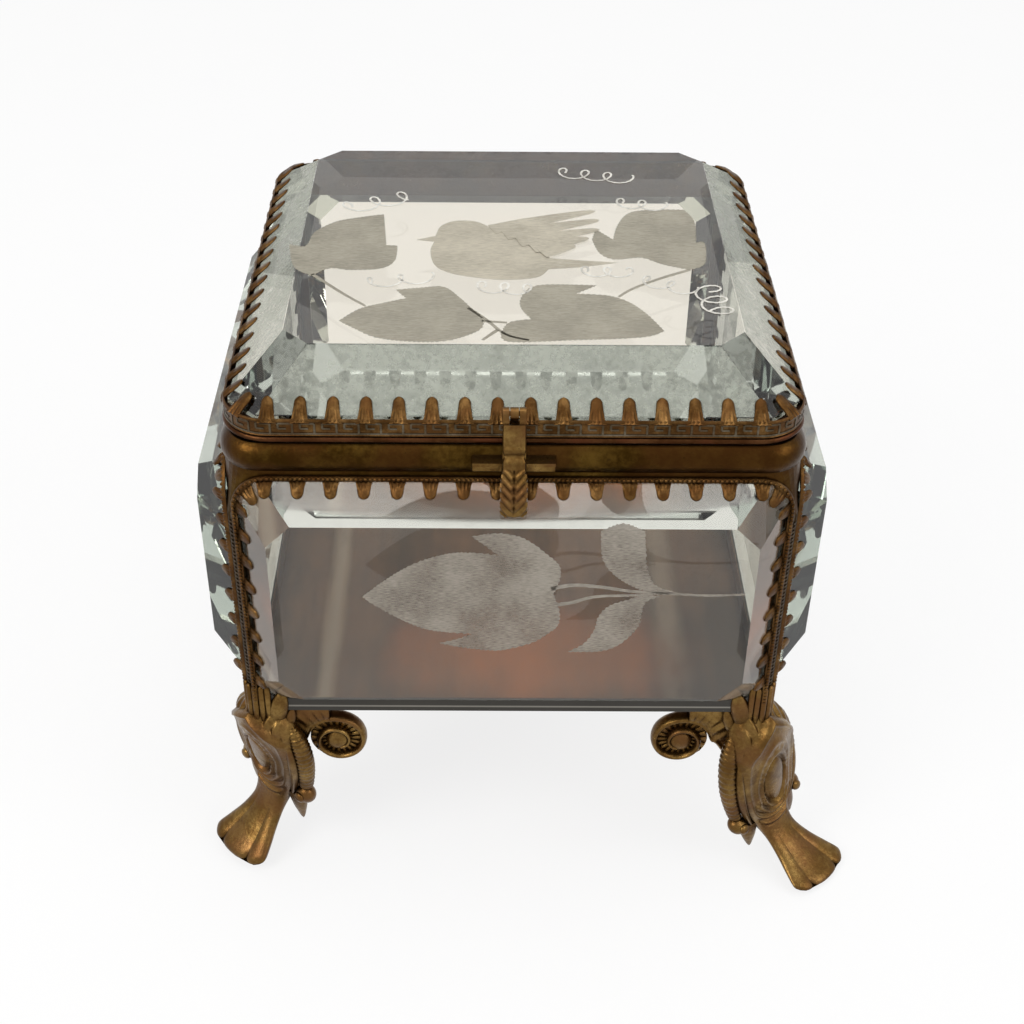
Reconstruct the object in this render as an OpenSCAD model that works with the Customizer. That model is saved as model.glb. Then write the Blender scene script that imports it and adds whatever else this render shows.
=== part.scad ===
/* [Case] */
// Width of the case across its corner posts
case_w = 118; // [110:1:130]
// Depth of the case across its corner posts
case_d = 122; // [114:1:134]
// Height of the case from the underside of its tray to the top of its rail
case_h = 72.3; // [66:0.1:90]
// Height of the feet under the tray
foot_h = 50.5; // [46:0.5:56]
// Outer corner radius of the posts and the tray
post_r = 2.5; // [1.5:0.1:2.6]
// Outer corner radius of the top rail
rail_r = 8; // [6:0.5:10]
// Thickness of the sheet brass
sheet = 0.8; // [0.6:0.05:1]

/* [Side glass] */
// How far the flat of a side glass stands out from the posts
glass_proud = 7.5; // [5:0.1:9]
// Width of the bevel round a side glass
bevel_w = 6.8; // [5.5:0.1:8]
// Thickness left at the edge of every glass
glass_edge = 1; // [0.8:0.05:1.2]
// Corner cut of a side glass at its edge
pane_clip = 4.6; // [3.6:0.1:5.5]
// Corner cut of a side glass at its flat
flat_clip = 5.2; // [3:0.1:7]

/* [Lid] */
// How much narrower the lid rim is than the case
lid_step_w = 1; // [0:0.5:3]
// How much shallower the lid rim is than the case
lid_step_d = 3; // [2:0.5:5]
// Outer corner radius of the lid rim
lid_r = 9.5; // [8:0.5:12]
// Height of the lid rim
rim_h = 5.4; // [4.8:0.1:7]
// Width of the lid glass's bevel at its left and right
lid_bevel_x = 10.6; // [8:0.1:15]
// Width of the lid glass's bevel at its front and back
lid_bevel_y = 12.4; // [9:0.1:16]
// Rise of the lid's bevel
lid_rise = 9.3; // [6:0.1:12]
// Corner cut of the lid glass at its edge
lid_clip = 6.4; // [6:0.1:8]
// Corner cut of the lid's flat
lid_flat_clip = 5.4; // [3:0.1:8]
// How far the lid opens, in degrees
lid_open = 100; // [90:1:105]

/* [Prongs] */
// Distance between prongs
prong_pitch = 6.4; // [5:0.1:8]
// Width of a prong at its root
prong_root_w = 3.3; // [2.6:0.1:4]
// Width of a prong at its round tip
prong_tip_w = 2.3; // [1.6:0.1:2.6]
// Length of a prong over the side glass
prong_len = 3.9; // [3:0.1:5]
// Length of a prong over the lid glass
lid_prong_len = 5.2; // [4:0.1:6]
// Thickness of a prong
prong_t = 0.6; // [0.4:0.05:0.7]
// Width of the strip that the prongs stand on
strip_w = 1.3; // [1:0.1:1.5]
// Radius of the bead along the strip
bead_r = 0.45; // [0.3:0.05:0.5]

/* [Hinge] */
// Length of the lid hinge
hinge_l = 26; // [18:1:40]
// Radius of the lid hinge's pin
hinge_pin_r = 0.7; // [0.5:0.05:0.8]
// Wall of the hinge's knuckles
knuckle_wall = 0.75; // [0.6:0.05:0.8]

/* [Hasp] */
// Width of the hasp at its pivot
hasp_w = 4.6; // [4:0.1:6]
// Width of the hasp at its foot
hasp_foot_w = 5.4; // [4.6:0.1:7]
// Thickness of the hasp
hasp_t = 0.9; // [0.7:0.05:1]
// Length of the hasp below its pivot
hasp_l = 20.8; // [18:0.1:21.5]
// Radius of the hasp's pin
hasp_pin_r = 0.5; // [0.4:0.05:0.6]
// Length of the ledge behind the hasp
ledge_l = 16.5; // [12:0.5:24]
// Reach of the ledge from the rail
ledge_reach = 3.4; // [2.8:0.1:3.8]

/* [Feet] */
// Radius of the scroll under each edge
scroll_r = 7.6; // [6:0.1:8]
// Distance from the case's corner to a scroll's centre
scroll_x = 19.4; // [17:0.1:24]
// Thickness of the scrolls
scroll_t = 3.6; // [3:0.1:5]
// Reach of the middle toe beyond the case's corner
toe_reach = 13.1; // [11:0.1:16]
// Spread of the outer toes, in degrees
toe_spread = 27; // [20:1:32]
// How far the toes of the front right foot have been pushed outward
right_bend = 10.5; // [0:0.5:12]
// How far the toes of the front left foot have been pushed back
left_bend = 9; // [0:0.5:11]

/* [Fits] */
// Clearance between a glass and its metal
glass_gap = 0.1; // [0.05:0.01:0.2]
// Gap between the closed lid and the rail
lid_gap = 0.3; // [0.2:0.05:0.5]
// Radial running clearance of the pins
pin_gap = 0.05; // [0.02:0.01:0.1]
// Side gap between knuckles
knuckle_gap = 0.15; // [0.1:0.05:0.3]
// Gap between the hanging hasp and the ledge
hasp_gap = 0.4; // [0.3:0.05:0.6]

/* [Hidden] */

$fn = 48;

half_w = case_w / 2;
half_d = case_d / 2;
rail_top = foot_h + case_h;

// Tray and glass: a glass stands in the slot of the posts, on the seat of the tray
tray_t = 1.2;
seat_h = 2.4;
back_lip_h = 2.2;
glass_front = sheet;
glass_back = glass_front + glass_edge;
pane_z0 = foot_h + tray_t + seat_h + glass_gap;
rail_cover = 7.7;
pane_z1 = rail_top - rail_cover;
post_core = 1.95;
side_core = 2.55;
pane_half_front = half_w - post_core - glass_gap / 2;
pane_half_side = half_d - side_core - glass_gap / 2;
post_leg = 3.2;
inner_sheet = 0.7;

// The strip of a gallery covers this much of a glass
strip_cover = 0.6;
strip_t = 0.6;
strip_r = 8;
bevel_angle = atan((glass_proud + glass_front) / bevel_w);
side_sink = 0.1;
lid_sink = 0.6;
spandrel_h = 16.8;
spandrel_z = rail_top - spandrel_h;
post_top = spandrel_z - glass_gap;

// Top rail: a hollow convex moulding with a wall behind the glass
rail_h = 5.8;
rail_z0 = rail_top - rail_h;
bulge_r = 4.2;
bulge_u = -3.4;
bulge_drop = 3.6;
bulge_z = rail_top - bulge_drop;
rail_wall_gap = 0.3;
rail_wall_h = 9.3;
rail_inner_u = glass_back + rail_wall_gap;
rail_wall_z0 = rail_top - rail_wall_h;

// Lid
lid_z0 = rail_top + lid_gap;
lid_w = case_w - lid_step_w;
lid_d = case_d - lid_step_d;
lid_half_w = lid_w / 2;
lid_half_d = lid_d / 2;
shelf_z = lid_z0 + rim_h - 1.9;
shelf_w = 2.4;
lid_edge_z0 = shelf_z + sheet + glass_gap;
lid_edge_z1 = lid_edge_z0 + glass_edge;
lid_glass_inset = sheet + glass_gap;
lid_flat_w = lid_w - 2 * (lid_glass_inset + lid_bevel_x);
lid_flat_d = lid_d - 2 * (lid_glass_inset + lid_bevel_y);
lip_h = 1.3;
lip_out = 0.5;
band_t = 0.5;
lid_top = lid_edge_z1 + lid_rise;
lid_slope_x = atan(lid_rise / (lid_half_w - lid_glass_inset - lid_flat_w / 2));
lid_slope_y = atan(lid_rise / (lid_half_d - lid_glass_inset - lid_flat_d / 2));
lid_corner_run = (lid_half_w + lid_half_d - 2 * lid_glass_inset - lid_clip
    - lid_flat_w / 2 - lid_flat_d / 2 + lid_flat_clip) / sqrt(2);
lid_slope_corner = atan(lid_rise / lid_corner_run);

// Lid hinge
knuckle_r = hinge_pin_r + pin_gap + knuckle_wall;
hinge_out = 1.4;
hinge_rise = 0.8;
hinge_y = half_d + bulge_r + bulge_u + hinge_out;
hinge_z = rail_top + hinge_rise;
knuckle_n = 5;
knuckle_l = (hinge_l - (knuckle_n - 1) * knuckle_gap) / knuckle_n;
leaf_t = 0.6;
leaf_gap = 0.05;

// Hasp
hasp_y = -lid_half_d - 1.9;
hasp_rise = 2.7;
hasp_z = lid_z0 + rim_h + hasp_rise;
hasp_knuckle_r = hasp_pin_r + pin_gap + 0.75;
lug_w = 1.7;
ledge_t = 0.8;
ledge_z = rail_top - 2.3;
ledge_front = -half_d - ledge_reach;
strap_curl = 0.6;
strap_y0 = hasp_y - hasp_knuckle_r + hasp_t / 2;
foot_glass = (pane_z1 - hasp_z + hasp_l) * tan(bevel_angle) - glass_front;
strap_foot_out = strap_y0 + half_d + foot_glass + hasp_gap + hasp_t / 2 + strap_curl;
ledge_at = (hasp_z - ledge_z - ledge_t) / hasp_l;
strap_ledge_out = (strap_y0 - ledge_front + hasp_gap + hasp_t / 2) / sin(90 * ledge_at);
strap_out = max(strap_foot_out, strap_ledge_out);

// Feet: sections of the leg as [reach, height, half width, half thickness]
leg = [[-9, 52.5, 7.5, 5.5], [-4.6, 46, 9.2, 6.2], [-2.2, 38.5, 9.2, 5.8], [-2.4, 30.5, 8.2, 4.7],
    [-3.2, 22.5, 6, 3.6], [-2.6, 15.5, 4.8, 3], [0.6, 10, 5.6, 2.8], [4.4, 6.2, 7.2, 2.3], [8, 3.6, 8.2, 1.5]];
toe = [[-1.5, 12.4, 1.8, 1.8], [toe_reach * 0.25, 8, 2.8, 2], [toe_reach * 0.54, 4.6, 3.5, 1.9],
    [toe_reach * 0.8, 1.6, 3.7, 1.9], [toe_reach * 0.94, 1.2, 2.9, 1.5], [toe_reach, 1, 1.1, 0.8]];
boss = [[-0.2, 46, 0.6, 0.5], [2.4, 42, 3.6, 1.6], [3.2, 36, 4.3, 1.9], [1.9, 30, 3.5, 1.5],
    [0, 26, 0.6, 0.5]];
wing = [[6.5, 44.5, 1.4, 1.2], [9.4, 40, 2, 1.5], [10.4, 32, 2.3, 1.7], [9.6, 24.4, 1.7, 1.4],
    [9.2, 18.8, 2.9, 2.6], [8.2, 14.4, 1.9, 1.8], [6.4, 10, 0.5, 0.5]];
wing_reach = -3.6;
wing_sides = 10;
leg_steps = 3;
leg_sides = 20;
toe_sides = 14;
foot_inset = 1.2;
toe_root = 2.3;
scroll_drop = 2.4;
scroll_z = foot_h - scroll_r - scroll_drop;
scroll_face = 1.4;
scroll_turns = 1.6;
spiral_step = 20;
scroll_band = 1.9;
scroll_eye = 2.5;

brass = "goldenrod";
dark_brass = "peru";
gilt = "gold";
glass_tint = [0.8, 0.9, 0.88, 0.45];

// ---------- shared shapes ----------

// Rectangle with its corners cut at 45 degrees
module clipped(x_half, z0, z1, clip) {
    polygon([[-x_half + clip, z0], [x_half - clip, z0], [x_half, z0 + clip], [x_half, z1 - clip],
        [x_half - clip, z1], [-x_half + clip, z1], [-x_half, z1 - clip], [-x_half, z0 + clip]]);
}

// Rectangle with round corners, centred
module rounded(w, d, r) {
    square([w - 2 * r, d], center = true);
    square([w, d - 2 * r], center = true);
    for (sx = [-1, 1])
        for (sy = [-1, 1])
            translate([sx * (w / 2 - r), sy * (d / 2 - r)])
                circle(r);
}

// Stands a flat outline upright, its back at y = back
module upright(back, t) {
    translate([0, back, 0])
        rotate([90, 0, 0])
            linear_extrude(t)
                children();
}

// Places a side's piece: 0 front, 1 right, 2 back, 3 left; outward is -y, the post face is y = 0
module on_side(i) {
    rotate([0, 0, 90 * i])
        translate([0, i % 2 == 0 ? -half_d : -half_w, 0])
            children();
}

function pane_half(i) = i % 2 == 0 ? pane_half_front : pane_half_side;

// Sweeps a profile round a rounded rectangle; x = 0 is its outer face, x < 0 is inward
module ring(w, d, r) {
    for (i = [0 : 3]) {
        run = i % 2 == 0 ? w : d;
        reach = i % 2 == 0 ? d / 2 : w / 2;
        other = run / 2;
        rotate([0, 0, 90 * i]) {
            translate([-run / 2 + r, -reach, 0])
                rotate([90, 0, 90])
                    mirror([1, 0, 0])
                        linear_extrude(run - 2 * r)
                            children();
            translate([other - r, -reach + r, 0])
                rotate([0, 0, -90])
                    rotate_extrude(angle = 90)
                        translate([r, 0])
                            children();
        }
    }
}

// ---------- tray ----------

module tray_seat(i) {
    on_side(i)
        upright(glass_back + 0.05, glass_back + 0.05)
            difference() {
                translate([-pane_half(i) - 1, foot_h])
                    square([2 * pane_half(i) + 2, pane_clip + tray_t + seat_h]);
                clipped(pane_half(i) + glass_gap / 2, pane_z0 - glass_gap / 2, pane_z1, pane_clip);
            }
    on_side(i)
        upright(glass_back + glass_gap + inner_sheet, inner_sheet)
            translate([-pane_half(i) + post_leg + 2, foot_h])
                square([2 * (pane_half(i) - post_leg - 2), tray_t + seat_h + back_lip_h]);
}

module tray() {
    color(dark_brass) {
        translate([0, 0, foot_h])
            linear_extrude(tray_t)
                rounded(case_w, case_d, post_r);
        intersection() {
            union() {
                for (i = [0 : 3])
                    tray_seat(i);
            }
            translate([0, 0, foot_h])
                difference() {
                    linear_extrude(20)
                        rounded(case_w, case_d, post_r);
                    for (sx = [-1, 1])
                        for (sy = [-1, 1])
                            translate([sx * half_w, sy * half_d, tray_t])
                                linear_extrude(20)
                                    square([2 * post_core, 2 * side_core], center = true);
                }
        }
    }
}

// ---------- corner posts ----------

// Section of the front right post
module post_section() {
    difference() {
        union() {
            difference() {
                translate([half_w - post_core, -half_d])
                    square([post_core, side_core]);
                translate([half_w - post_r, -half_d])
                    square(post_r);
            }
            intersection() {
                translate([half_w - post_core, -half_d])
                    square([post_core, side_core]);
                translate([half_w - post_r, -half_d + post_r])
                    circle(post_r);
            }
        }
        translate([half_w - 0.35, -half_d + 0.35])
            circle(0.75);
    }
    translate([half_w - post_core - post_leg, -half_d + glass_back + glass_gap])
        square([post_leg + 0.01, inner_sheet]);
    translate([half_w - glass_back - glass_gap - inner_sheet, -half_d + side_core - 0.1])
        square([inner_sheet, post_leg]);
}

module post(sx, sy) {
    color(brass)
        mirror([sx < 0 ? 1 : 0, 0, 0])
            mirror([0, sy > 0 ? 1 : 0, 0])
                translate([0, 0, foot_h + tray_t])
                    linear_extrude(post_top - foot_h - tray_t)
                        post_section();
}

// ---------- top rail ----------

module rail_profile() {
    difference() {
        intersection() {
            translate([bulge_u, bulge_z])
                circle(bulge_r);
            translate([-rail_inner_u - inner_sheet, rail_z0])
                square([10, rail_top - rail_z0]);
        }
        intersection() {
            translate([bulge_u, bulge_z])
                circle(bulge_r - sheet);
            translate([-rail_inner_u, rail_z0 - 1])
                square([10, rail_top - rail_z0 + 1 - sheet]);
        }
    }
    translate([-rail_inner_u - inner_sheet, rail_wall_z0])
        square([inner_sheet, rail_top - rail_wall_z0]);
}

// Solid that runs from the posts' small corner radius up to the rail's large one
module spandrel_body(inset) {
    hull() {
        translate([0, 0, spandrel_z])
            linear_extrude(0.01)
                rounded(case_w - 2 * inset, case_d - 2 * inset, post_r - inset, $fn = 32);
        translate([0, 0, rail_z0 + 0.3])
            linear_extrude(0.01)
                rounded(case_w - 2 * inset, case_d - 2 * inset, rail_r - inset, $fn = 32);
    }
}

module top_rail() {
    color(gilt) {
        ring(case_w, case_d, rail_r)
            rail_profile();
        difference() {
            spandrel_body(0);
            spandrel_body(sheet);
            for (i = [0, 1])
                rotate([0, 0, 90 * i])
                    translate([0, case_w, 0])
                        upright(0, 2 * case_w)
                            clipped(pane_half(i) + glass_gap / 2, foot_h, pane_z1 + glass_gap / 2, pane_clip);
        }
    }
}

// ---------- galleries ----------

module prong_outline(len, sink) {
    polygon([[-prong_root_w / 2, -sink], [prong_root_w / 2, -sink],
        [prong_tip_w / 2, len - prong_tip_w / 2], [-prong_tip_w / 2, len - prong_tip_w / 2]]);
    translate([0, len - prong_tip_w / 2])
        circle(prong_tip_w / 2, $fn = 24);
}

// A prong of a side gallery: turn 0 points down, 90 points left, -90 points right
module side_prong(x, z, turn, slope) {
    translate([x, -0.08, z])
        rotate([0, turn, 0])
            rotate([-90 - slope, 0, 0])
                translate([0, 0, -prong_t])
                    linear_extrude(prong_t)
                        prong_outline(prong_len, side_sink);
}

module arch(x_half, z1, r) {
    translate([-x_half, pane_z0])
        square([2 * x_half, z1 - r - pane_z0]);
    translate([-x_half + r, pane_z0])
        square([2 * (x_half - r), z1 - pane_z0]);
    for (sx = [-1, 1])
        translate([sx * (x_half - r), z1 - r])
            circle(r);
}

module gallery(i) {
    x_in = pane_half(i) - strip_cover;
    z_in = pane_z1 - strip_cover;
    clip_in = pane_clip - (2 - sqrt(2)) * strip_cover;
    row_half = x_in - clip_in - prong_root_w / 2 - 0.2;
    row_n = floor(2 * row_half / prong_pitch);
    z_low = pane_z0 + pane_clip + prong_root_w / 2;
    z_high = z_in - clip_in - prong_root_w / 2 - 0.6;
    column_n = floor((z_high - z_low) / prong_pitch);
    corner_run = (2 * bevel_w + flat_clip - pane_clip) / sqrt(2);
    corner_slope = atan((glass_proud + glass_front) / corner_run);
    bead_x = x_in + strip_w - bead_r - 0.1;
    bead_z = z_in + strip_w - bead_r - 0.1;
    bead_bend = strip_r - bead_r - 0.1;
    color(dark_brass)
        on_side(i) {
            upright(0, strip_t)
                difference() {
                    arch(x_in + strip_w, z_in + strip_w, strip_r);
                    clipped(x_in, pane_z0 - pane_clip - 1, z_in, clip_in);
                }
            for (k = [0 : row_n])
                side_prong(-row_half + k * 2 * row_half / row_n, z_in, 0, bevel_angle);
            for (sx = [-1, 1]) {
                for (k = [0 : column_n])
                    side_prong(sx * x_in, z_low + k * (z_high - z_low) / column_n, 90 * sx, bevel_angle);
                side_prong(sx * (x_in - clip_in / 2), z_in - clip_in / 2, 45 * sx, corner_slope);
                translate([sx * bead_x, -strip_t, pane_z0])
                    cylinder(h = bead_z - bead_bend - pane_z0, r = bead_r);
                translate([sx * (bead_x - bead_bend), -strip_t, bead_z - bead_bend])
                    rotate([90, 0, 0])
                        rotate([0, 0, sx > 0 ? 0 : 90])
                            rotate_extrude(angle = 90)
                                translate([bead_bend, 0])
                                    circle(bead_r);
            }
            translate([-bead_x + bead_bend, -strip_t, bead_z])
                rotate([0, 90, 0])
                    cylinder(h = 2 * (bead_x - bead_bend), r = bead_r);
        }
}

// ---------- side glass ----------

module side_glass(i) {
    color(glass_tint)
        on_side(i)
            hull() {
                upright(glass_back, glass_edge)
                    clipped(pane_half(i), pane_z0, pane_z1, pane_clip);
                upright(0.01 - glass_proud, 0.01)
                    clipped(pane_half(i) - bevel_w, pane_z0 + bevel_w, pane_z1 - bevel_w, flat_clip);
            }
}

// ---------- feet ----------

// Smooth value between stations b and c, with neighbours a and d
function smooth(a, b, c, d, t) = 0.5 * (2 * b + (c - a) * t + (2 * a - 5 * b + 4 * c - d) * t * t
    + (3 * b - 3 * c + d - a) * t * t * t);

function refine(list, steps) = [for (k = [0 : len(list) - 2], j = [0 : steps - 1])
    smooth(list[max(k - 1, 0)], list[k], list[k + 1], list[min(k + 2, len(list) - 1)], j / steps),
    list[len(list) - 1]];

// Direction of the path at station k, in the plane of reach and height
function heading(path, k) =
    let(a = path[max(k - 1, 0)], b = path[min(k + 1, len(path) - 1)], run = [b[0] - a[0], b[1] - a[1]])
    run / norm(run);

function turned(v, a) = [v[0] * cos(a) - v[1] * sin(a), v[0] * sin(a) + v[1] * cos(a)];

// A foot's point, pushed sideways by up to bend at the ground
function pushed(p, bend) = let(t = 1 - p[2] / foot_h) [p[0] + bend[0] * t, p[1] + bend[1] * t, p[2]];

// Closed solid swept along stations, with oval sections
module swept(stations, steps, sides, bend) {
    path = refine(stations, steps);
    n = len(path);
    points = [for (k = [0 : n - 1], j = [0 : sides - 1])
        let(dir = heading(path, k), a = 360 * j / sides, out = path[k][3] * cos(a))
        pushed([path[k][0] - dir[1] * out, path[k][2] * sin(a), path[k][1] + dir[0] * out], bend)];
    skin = [for (k = [0 : n - 2], j = [0 : sides - 1])
        let(a = k * sides + j, b = k * sides + (j + 1) % sides)
        [a, b, b + sides, a + sides]];
    polyhedron(points, concat([[for (j = [0 : sides - 1]) sides - 1 - j]], skin,
        [[for (j = [0 : sides - 1]) (n - 1) * sides + j]]));
}

// Point of a scroll's spiral at angle a, shifted inward by inset
function spiral(a, inset) =
    let(r = scroll_r - (scroll_r - scroll_eye) * a / (360 * scroll_turns) - inset)
    [r * cos(90 + a), r * sin(90 + a)];

// One scroll and its arm, in the plane of an edge; the case's corner is at x = 0
module scroll() {
    outer = [for (k = [-2 : 28]) spiral(spiral_step * k, 0)];
    inner = [for (k = [28 : -1 : -2]) spiral(spiral_step * k, scroll_band)];
    upright(scroll_t, scroll_t - scroll_face)
        translate([-scroll_x, scroll_z])
            circle(scroll_r - 0.8);
    upright(scroll_t, scroll_t)
        translate([-scroll_x, scroll_z])
            polygon(concat(outer, inner));
    upright(scroll_t, scroll_t)
        difference() {
            translate([-scroll_x, foot_h - 9.5])
                square([scroll_x - 7, 9.5]);
            translate([-scroll_x, scroll_z])
                circle(scroll_r - 0.93);
            translate([-scroll_x + scroll_r + 2.6, scroll_z - 3.4])
                circle(4.6);
            translate([-scroll_x - 1, 0])
                square([4.6, foot_h - scroll_r / 2]);
        }
}

module foot(sx, sy, bend) {
    diagonal = turned([sx * bend[0], -sy * bend[1]], 45);
    color(brass)
        mirror([sx < 0 ? 1 : 0, 0, 0])
            mirror([0, sy > 0 ? 1 : 0, 0])
                intersection() {
                    union() {
                        translate([half_w, -half_d, 0])
                            rotate([0, 0, -45])
                                translate([-foot_inset, 0, 0]) {
                                    swept(leg, leg_steps, leg_sides, diagonal);
                                    swept(boss, 2, toe_sides, diagonal);
                                    for (s = [-1, 1])
                                        translate([wing_reach, 0, 0])
                                            rotate([0, 0, 90 * s])
                                                swept(wing, 2, wing_sides, turned(diagonal, -90 * s));
                                    swept(toe, 2, toe_sides, diagonal);
                                    for (s = [-1, 1])
                                        translate([-toe_root, 0, 0])
                                            rotate([0, 0, s * toe_spread])
                                                translate([toe_root, 0, 0])
                                                    swept(toe, 2, toe_sides, turned(diagonal, -s * toe_spread));
                                }
                        translate([half_w, -half_d + foot_inset, 0])
                            scroll();
                        translate([half_w - foot_inset, -half_d, 0])
                            mirror([1, 1, 0])
                                scroll();
                    }
                    translate([0, -2 * case_d, 0])
                        cube([2 * case_w, 2 * case_d, foot_h]);
                }
}

// ---------- ledge and lid hinge ----------

module catch_ledge() {
    plate_h = 3.2;
    rail_face = bulge_u + bulge_r;
    color(brass)
        translate([0, -half_d, 0]) {
            translate([-ledge_l / 2, -ledge_reach, ledge_z])
                cube([ledge_l, ledge_reach - rail_face, ledge_t]);
            intersection() {
                translate([-ledge_l / 2, 0, 0])
                    rotate([90, 0, 90])
                        linear_extrude(ledge_l)
                            difference() {
                                translate([-bulge_u, bulge_z])
                                    circle(bulge_r + sheet);
                                translate([-bulge_u, bulge_z])
                                    circle(bulge_r + 0.02);
                            }
                translate([-ledge_l / 2, -ledge_reach, ledge_z + ledge_t - plate_h])
                    cube([ledge_l, ledge_reach, plate_h]);
            }
        }
}

// Knuckle k of the lid hinge
module hinge_knuckle(k) {
    translate([-hinge_l / 2 + k * (knuckle_l + knuckle_gap), hinge_y, hinge_z])
        rotate([0, 90, 0])
            difference() {
                cylinder(h = knuckle_l, r = knuckle_r);
                translate([0, 0, -1])
                    cylinder(h = knuckle_l + 2, r = hinge_pin_r + pin_gap);
            }
}

// Web of knuckle k, drawn in the plane of y and z
module hinge_web(k) {
    translate([-hinge_l / 2 + k * (knuckle_l + knuckle_gap), 0, 0])
        rotate([90, 0, 90])
            linear_extrude(knuckle_l)
                difference() {
                    children();
                    translate([hinge_y, hinge_z])
                        circle(hinge_pin_r + pin_gap + 0.1);
                }
}

module hinge_case_leaf() {
    leaf_z0 = rail_z0 + leaf_t / 2;
    leaf_z1 = hinge_z - 2.3 * leaf_t;
    color(brass) {
        translate([-hinge_l / 2, 0, 0])
            rotate([90, 0, 90])
                linear_extrude(hinge_l)
                    intersection() {
                        difference() {
                            translate([half_d + bulge_u, bulge_z])
                                circle(bulge_r + 0.02 + leaf_t);
                            translate([half_d + bulge_u, bulge_z])
                                circle(bulge_r + 0.02);
                        }
                        translate([half_d, leaf_z0])
                            square([10, leaf_z1 - leaf_z0]);
                    }
        for (k = [0 : 2 : knuckle_n - 1]) {
            hinge_knuckle(k);
            hinge_web(k)
                polygon([[half_d + leaf_t, leaf_z1 - 2 * leaf_t], [hinge_y, hinge_z - knuckle_r],
                    [hinge_y - leaf_t, hinge_z - knuckle_r + leaf_t], [half_d + leaf_t, leaf_z1 - leaf_gap]]);
        }
    }
}

module hinge_lid_leaf() {
    leaf_y = lid_half_d + band_t + leaf_gap;
    leaf_z0 = hinge_z + knuckle_r - leaf_t;
    leaf_z1 = lid_z0 + rim_h - 2 * leaf_t;
    color(brass) {
        difference() {
            translate([-hinge_l / 2, leaf_y, leaf_z0])
                cube([hinge_l, leaf_t, leaf_z1 - leaf_z0]);
            for (k = [0 : 2 : knuckle_n - 1])
                translate([-hinge_l / 2 + k * (knuckle_l + knuckle_gap) - knuckle_gap, hinge_y, hinge_z])
                    rotate([0, 90, 0])
                        cylinder(h = knuckle_l + 2 * knuckle_gap, r = knuckle_r + 0.2);
        }
        for (k = [1 : 2 : knuckle_n - 1]) {
            hinge_knuckle(k);
            hinge_web(k)
                translate([leaf_y + 0.1, leaf_z0])
                    square([hinge_y - leaf_y - 0.1, leaf_t]);
        }
    }
}

module hinge_pin() {
    color(brass)
        translate([-hinge_l / 2 - 0.4, hinge_y, hinge_z])
            rotate([0, 90, 0])
                cylinder(h = hinge_l + 0.8, r = hinge_pin_r);
}

// ---------- lid ----------

module lid_rim() {
    color(brass)
        ring(lid_w, lid_d, lid_r) {
            translate([-sheet, lid_z0])
                square([sheet, shelf_z + sheet - lid_z0]);
            translate([-shelf_w - sheet, shelf_z])
                square([shelf_w + sheet, sheet]);
            translate([-sheet, lid_z0])
                square([sheet + lip_out - lip_h / 4, lip_h]);
            translate([lip_out - lip_h / 4, lid_z0 + lip_h / 2])
                circle(lip_h / 2, $fn = 24);
        }
}

// A prong of the lid; its root stands at the rim's outer face, y = 0, and inward is +y
module lid_prong(slope) {
    root_z = lid_edge_z1 - lid_glass_inset * tan(slope) + 0.1 / cos(slope);
    translate([0, 0, root_z])
        rotate([slope, 0, 0])
            linear_extrude(prong_t)
                prong_outline(lid_prong_len, lid_sink);
}

module lid_gallery() {
    band_z0 = lid_z0 + lip_h + 0.1;
    band_z1 = lid_z0 + rim_h - 0.2;
    color(dark_brass) {
        ring(lid_w + 2 * band_t, lid_d + 2 * band_t, lid_r + band_t)
            translate([-band_t, band_z0])
                square([band_t, band_z1 - band_z0]);
        for (i = [0 : 3]) {
            run_half = (i % 2 == 0 ? lid_half_w : lid_half_d) - lid_r;
            row_n = round(2 * run_half / prong_pitch);
            rotate([0, 0, 90 * i]) {
                for (k = [0 : row_n])
                    translate([-run_half + 2 * run_half * k / row_n,
                        i % 2 == 0 ? -lid_half_d : -lid_half_w, 0])
                        lid_prong(i % 2 == 0 ? lid_slope_y : lid_slope_x);
            }
        }
        for (sx = [-1, 1])
            for (sy = [-1, 1])
                translate([sx * (lid_half_w - lid_r * (1 - sqrt(0.5))),
                    sy * (lid_half_d - lid_r * (1 - sqrt(0.5))), 0])
                    rotate([0, 0, sy < 0 ? 45 * sx : 180 - 45 * sx])
                        lid_prong(lid_slope_corner);
    }
}

module lid_glass() {
    edge_half_w = lid_half_w - lid_glass_inset;
    edge_half_d = lid_half_d - lid_glass_inset;
    color(glass_tint)
        hull() {
            translate([0, 0, lid_edge_z0])
                linear_extrude(glass_edge)
                    clipped(edge_half_w, -edge_half_d, edge_half_d, lid_clip);
            translate([0, 0, lid_top - 0.01])
                linear_extrude(0.01)
                    clipped(lid_flat_w / 2, -lid_flat_d / 2, lid_flat_d / 2, lid_flat_clip);
        }
}

// ---------- hasp ----------

module hasp_barrel(w) {
    translate([-w / 2, hasp_y, hasp_z])
        rotate([0, 90, 0])
            cylinder(h = w, r = hasp_knuckle_r);
}

module hasp_bore() {
    translate([-hasp_w, hasp_y, hasp_z])
        rotate([0, 90, 0])
            cylinder(h = 2 * hasp_w, r = hasp_pin_r + pin_gap);
}

module hasp_lug() {
    face_y = -lid_half_d - band_t - leaf_gap;
    plate_z0 = lid_z0 + lip_h + leaf_t;
    color(brass)
        difference() {
            union() {
                hasp_barrel(lug_w);
                translate([-lug_w / 2, face_y - leaf_t, plate_z0])
                    cube([lug_w, leaf_t, hasp_z - plate_z0]);
            }
            hasp_bore();
        }
}

module hasp_pin() {
    color(brass)
        translate([-hasp_w / 2, hasp_y, hasp_z])
            rotate([0, 90, 0])
                cylinder(h = hasp_w, r = hasp_pin_r);
}

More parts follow.
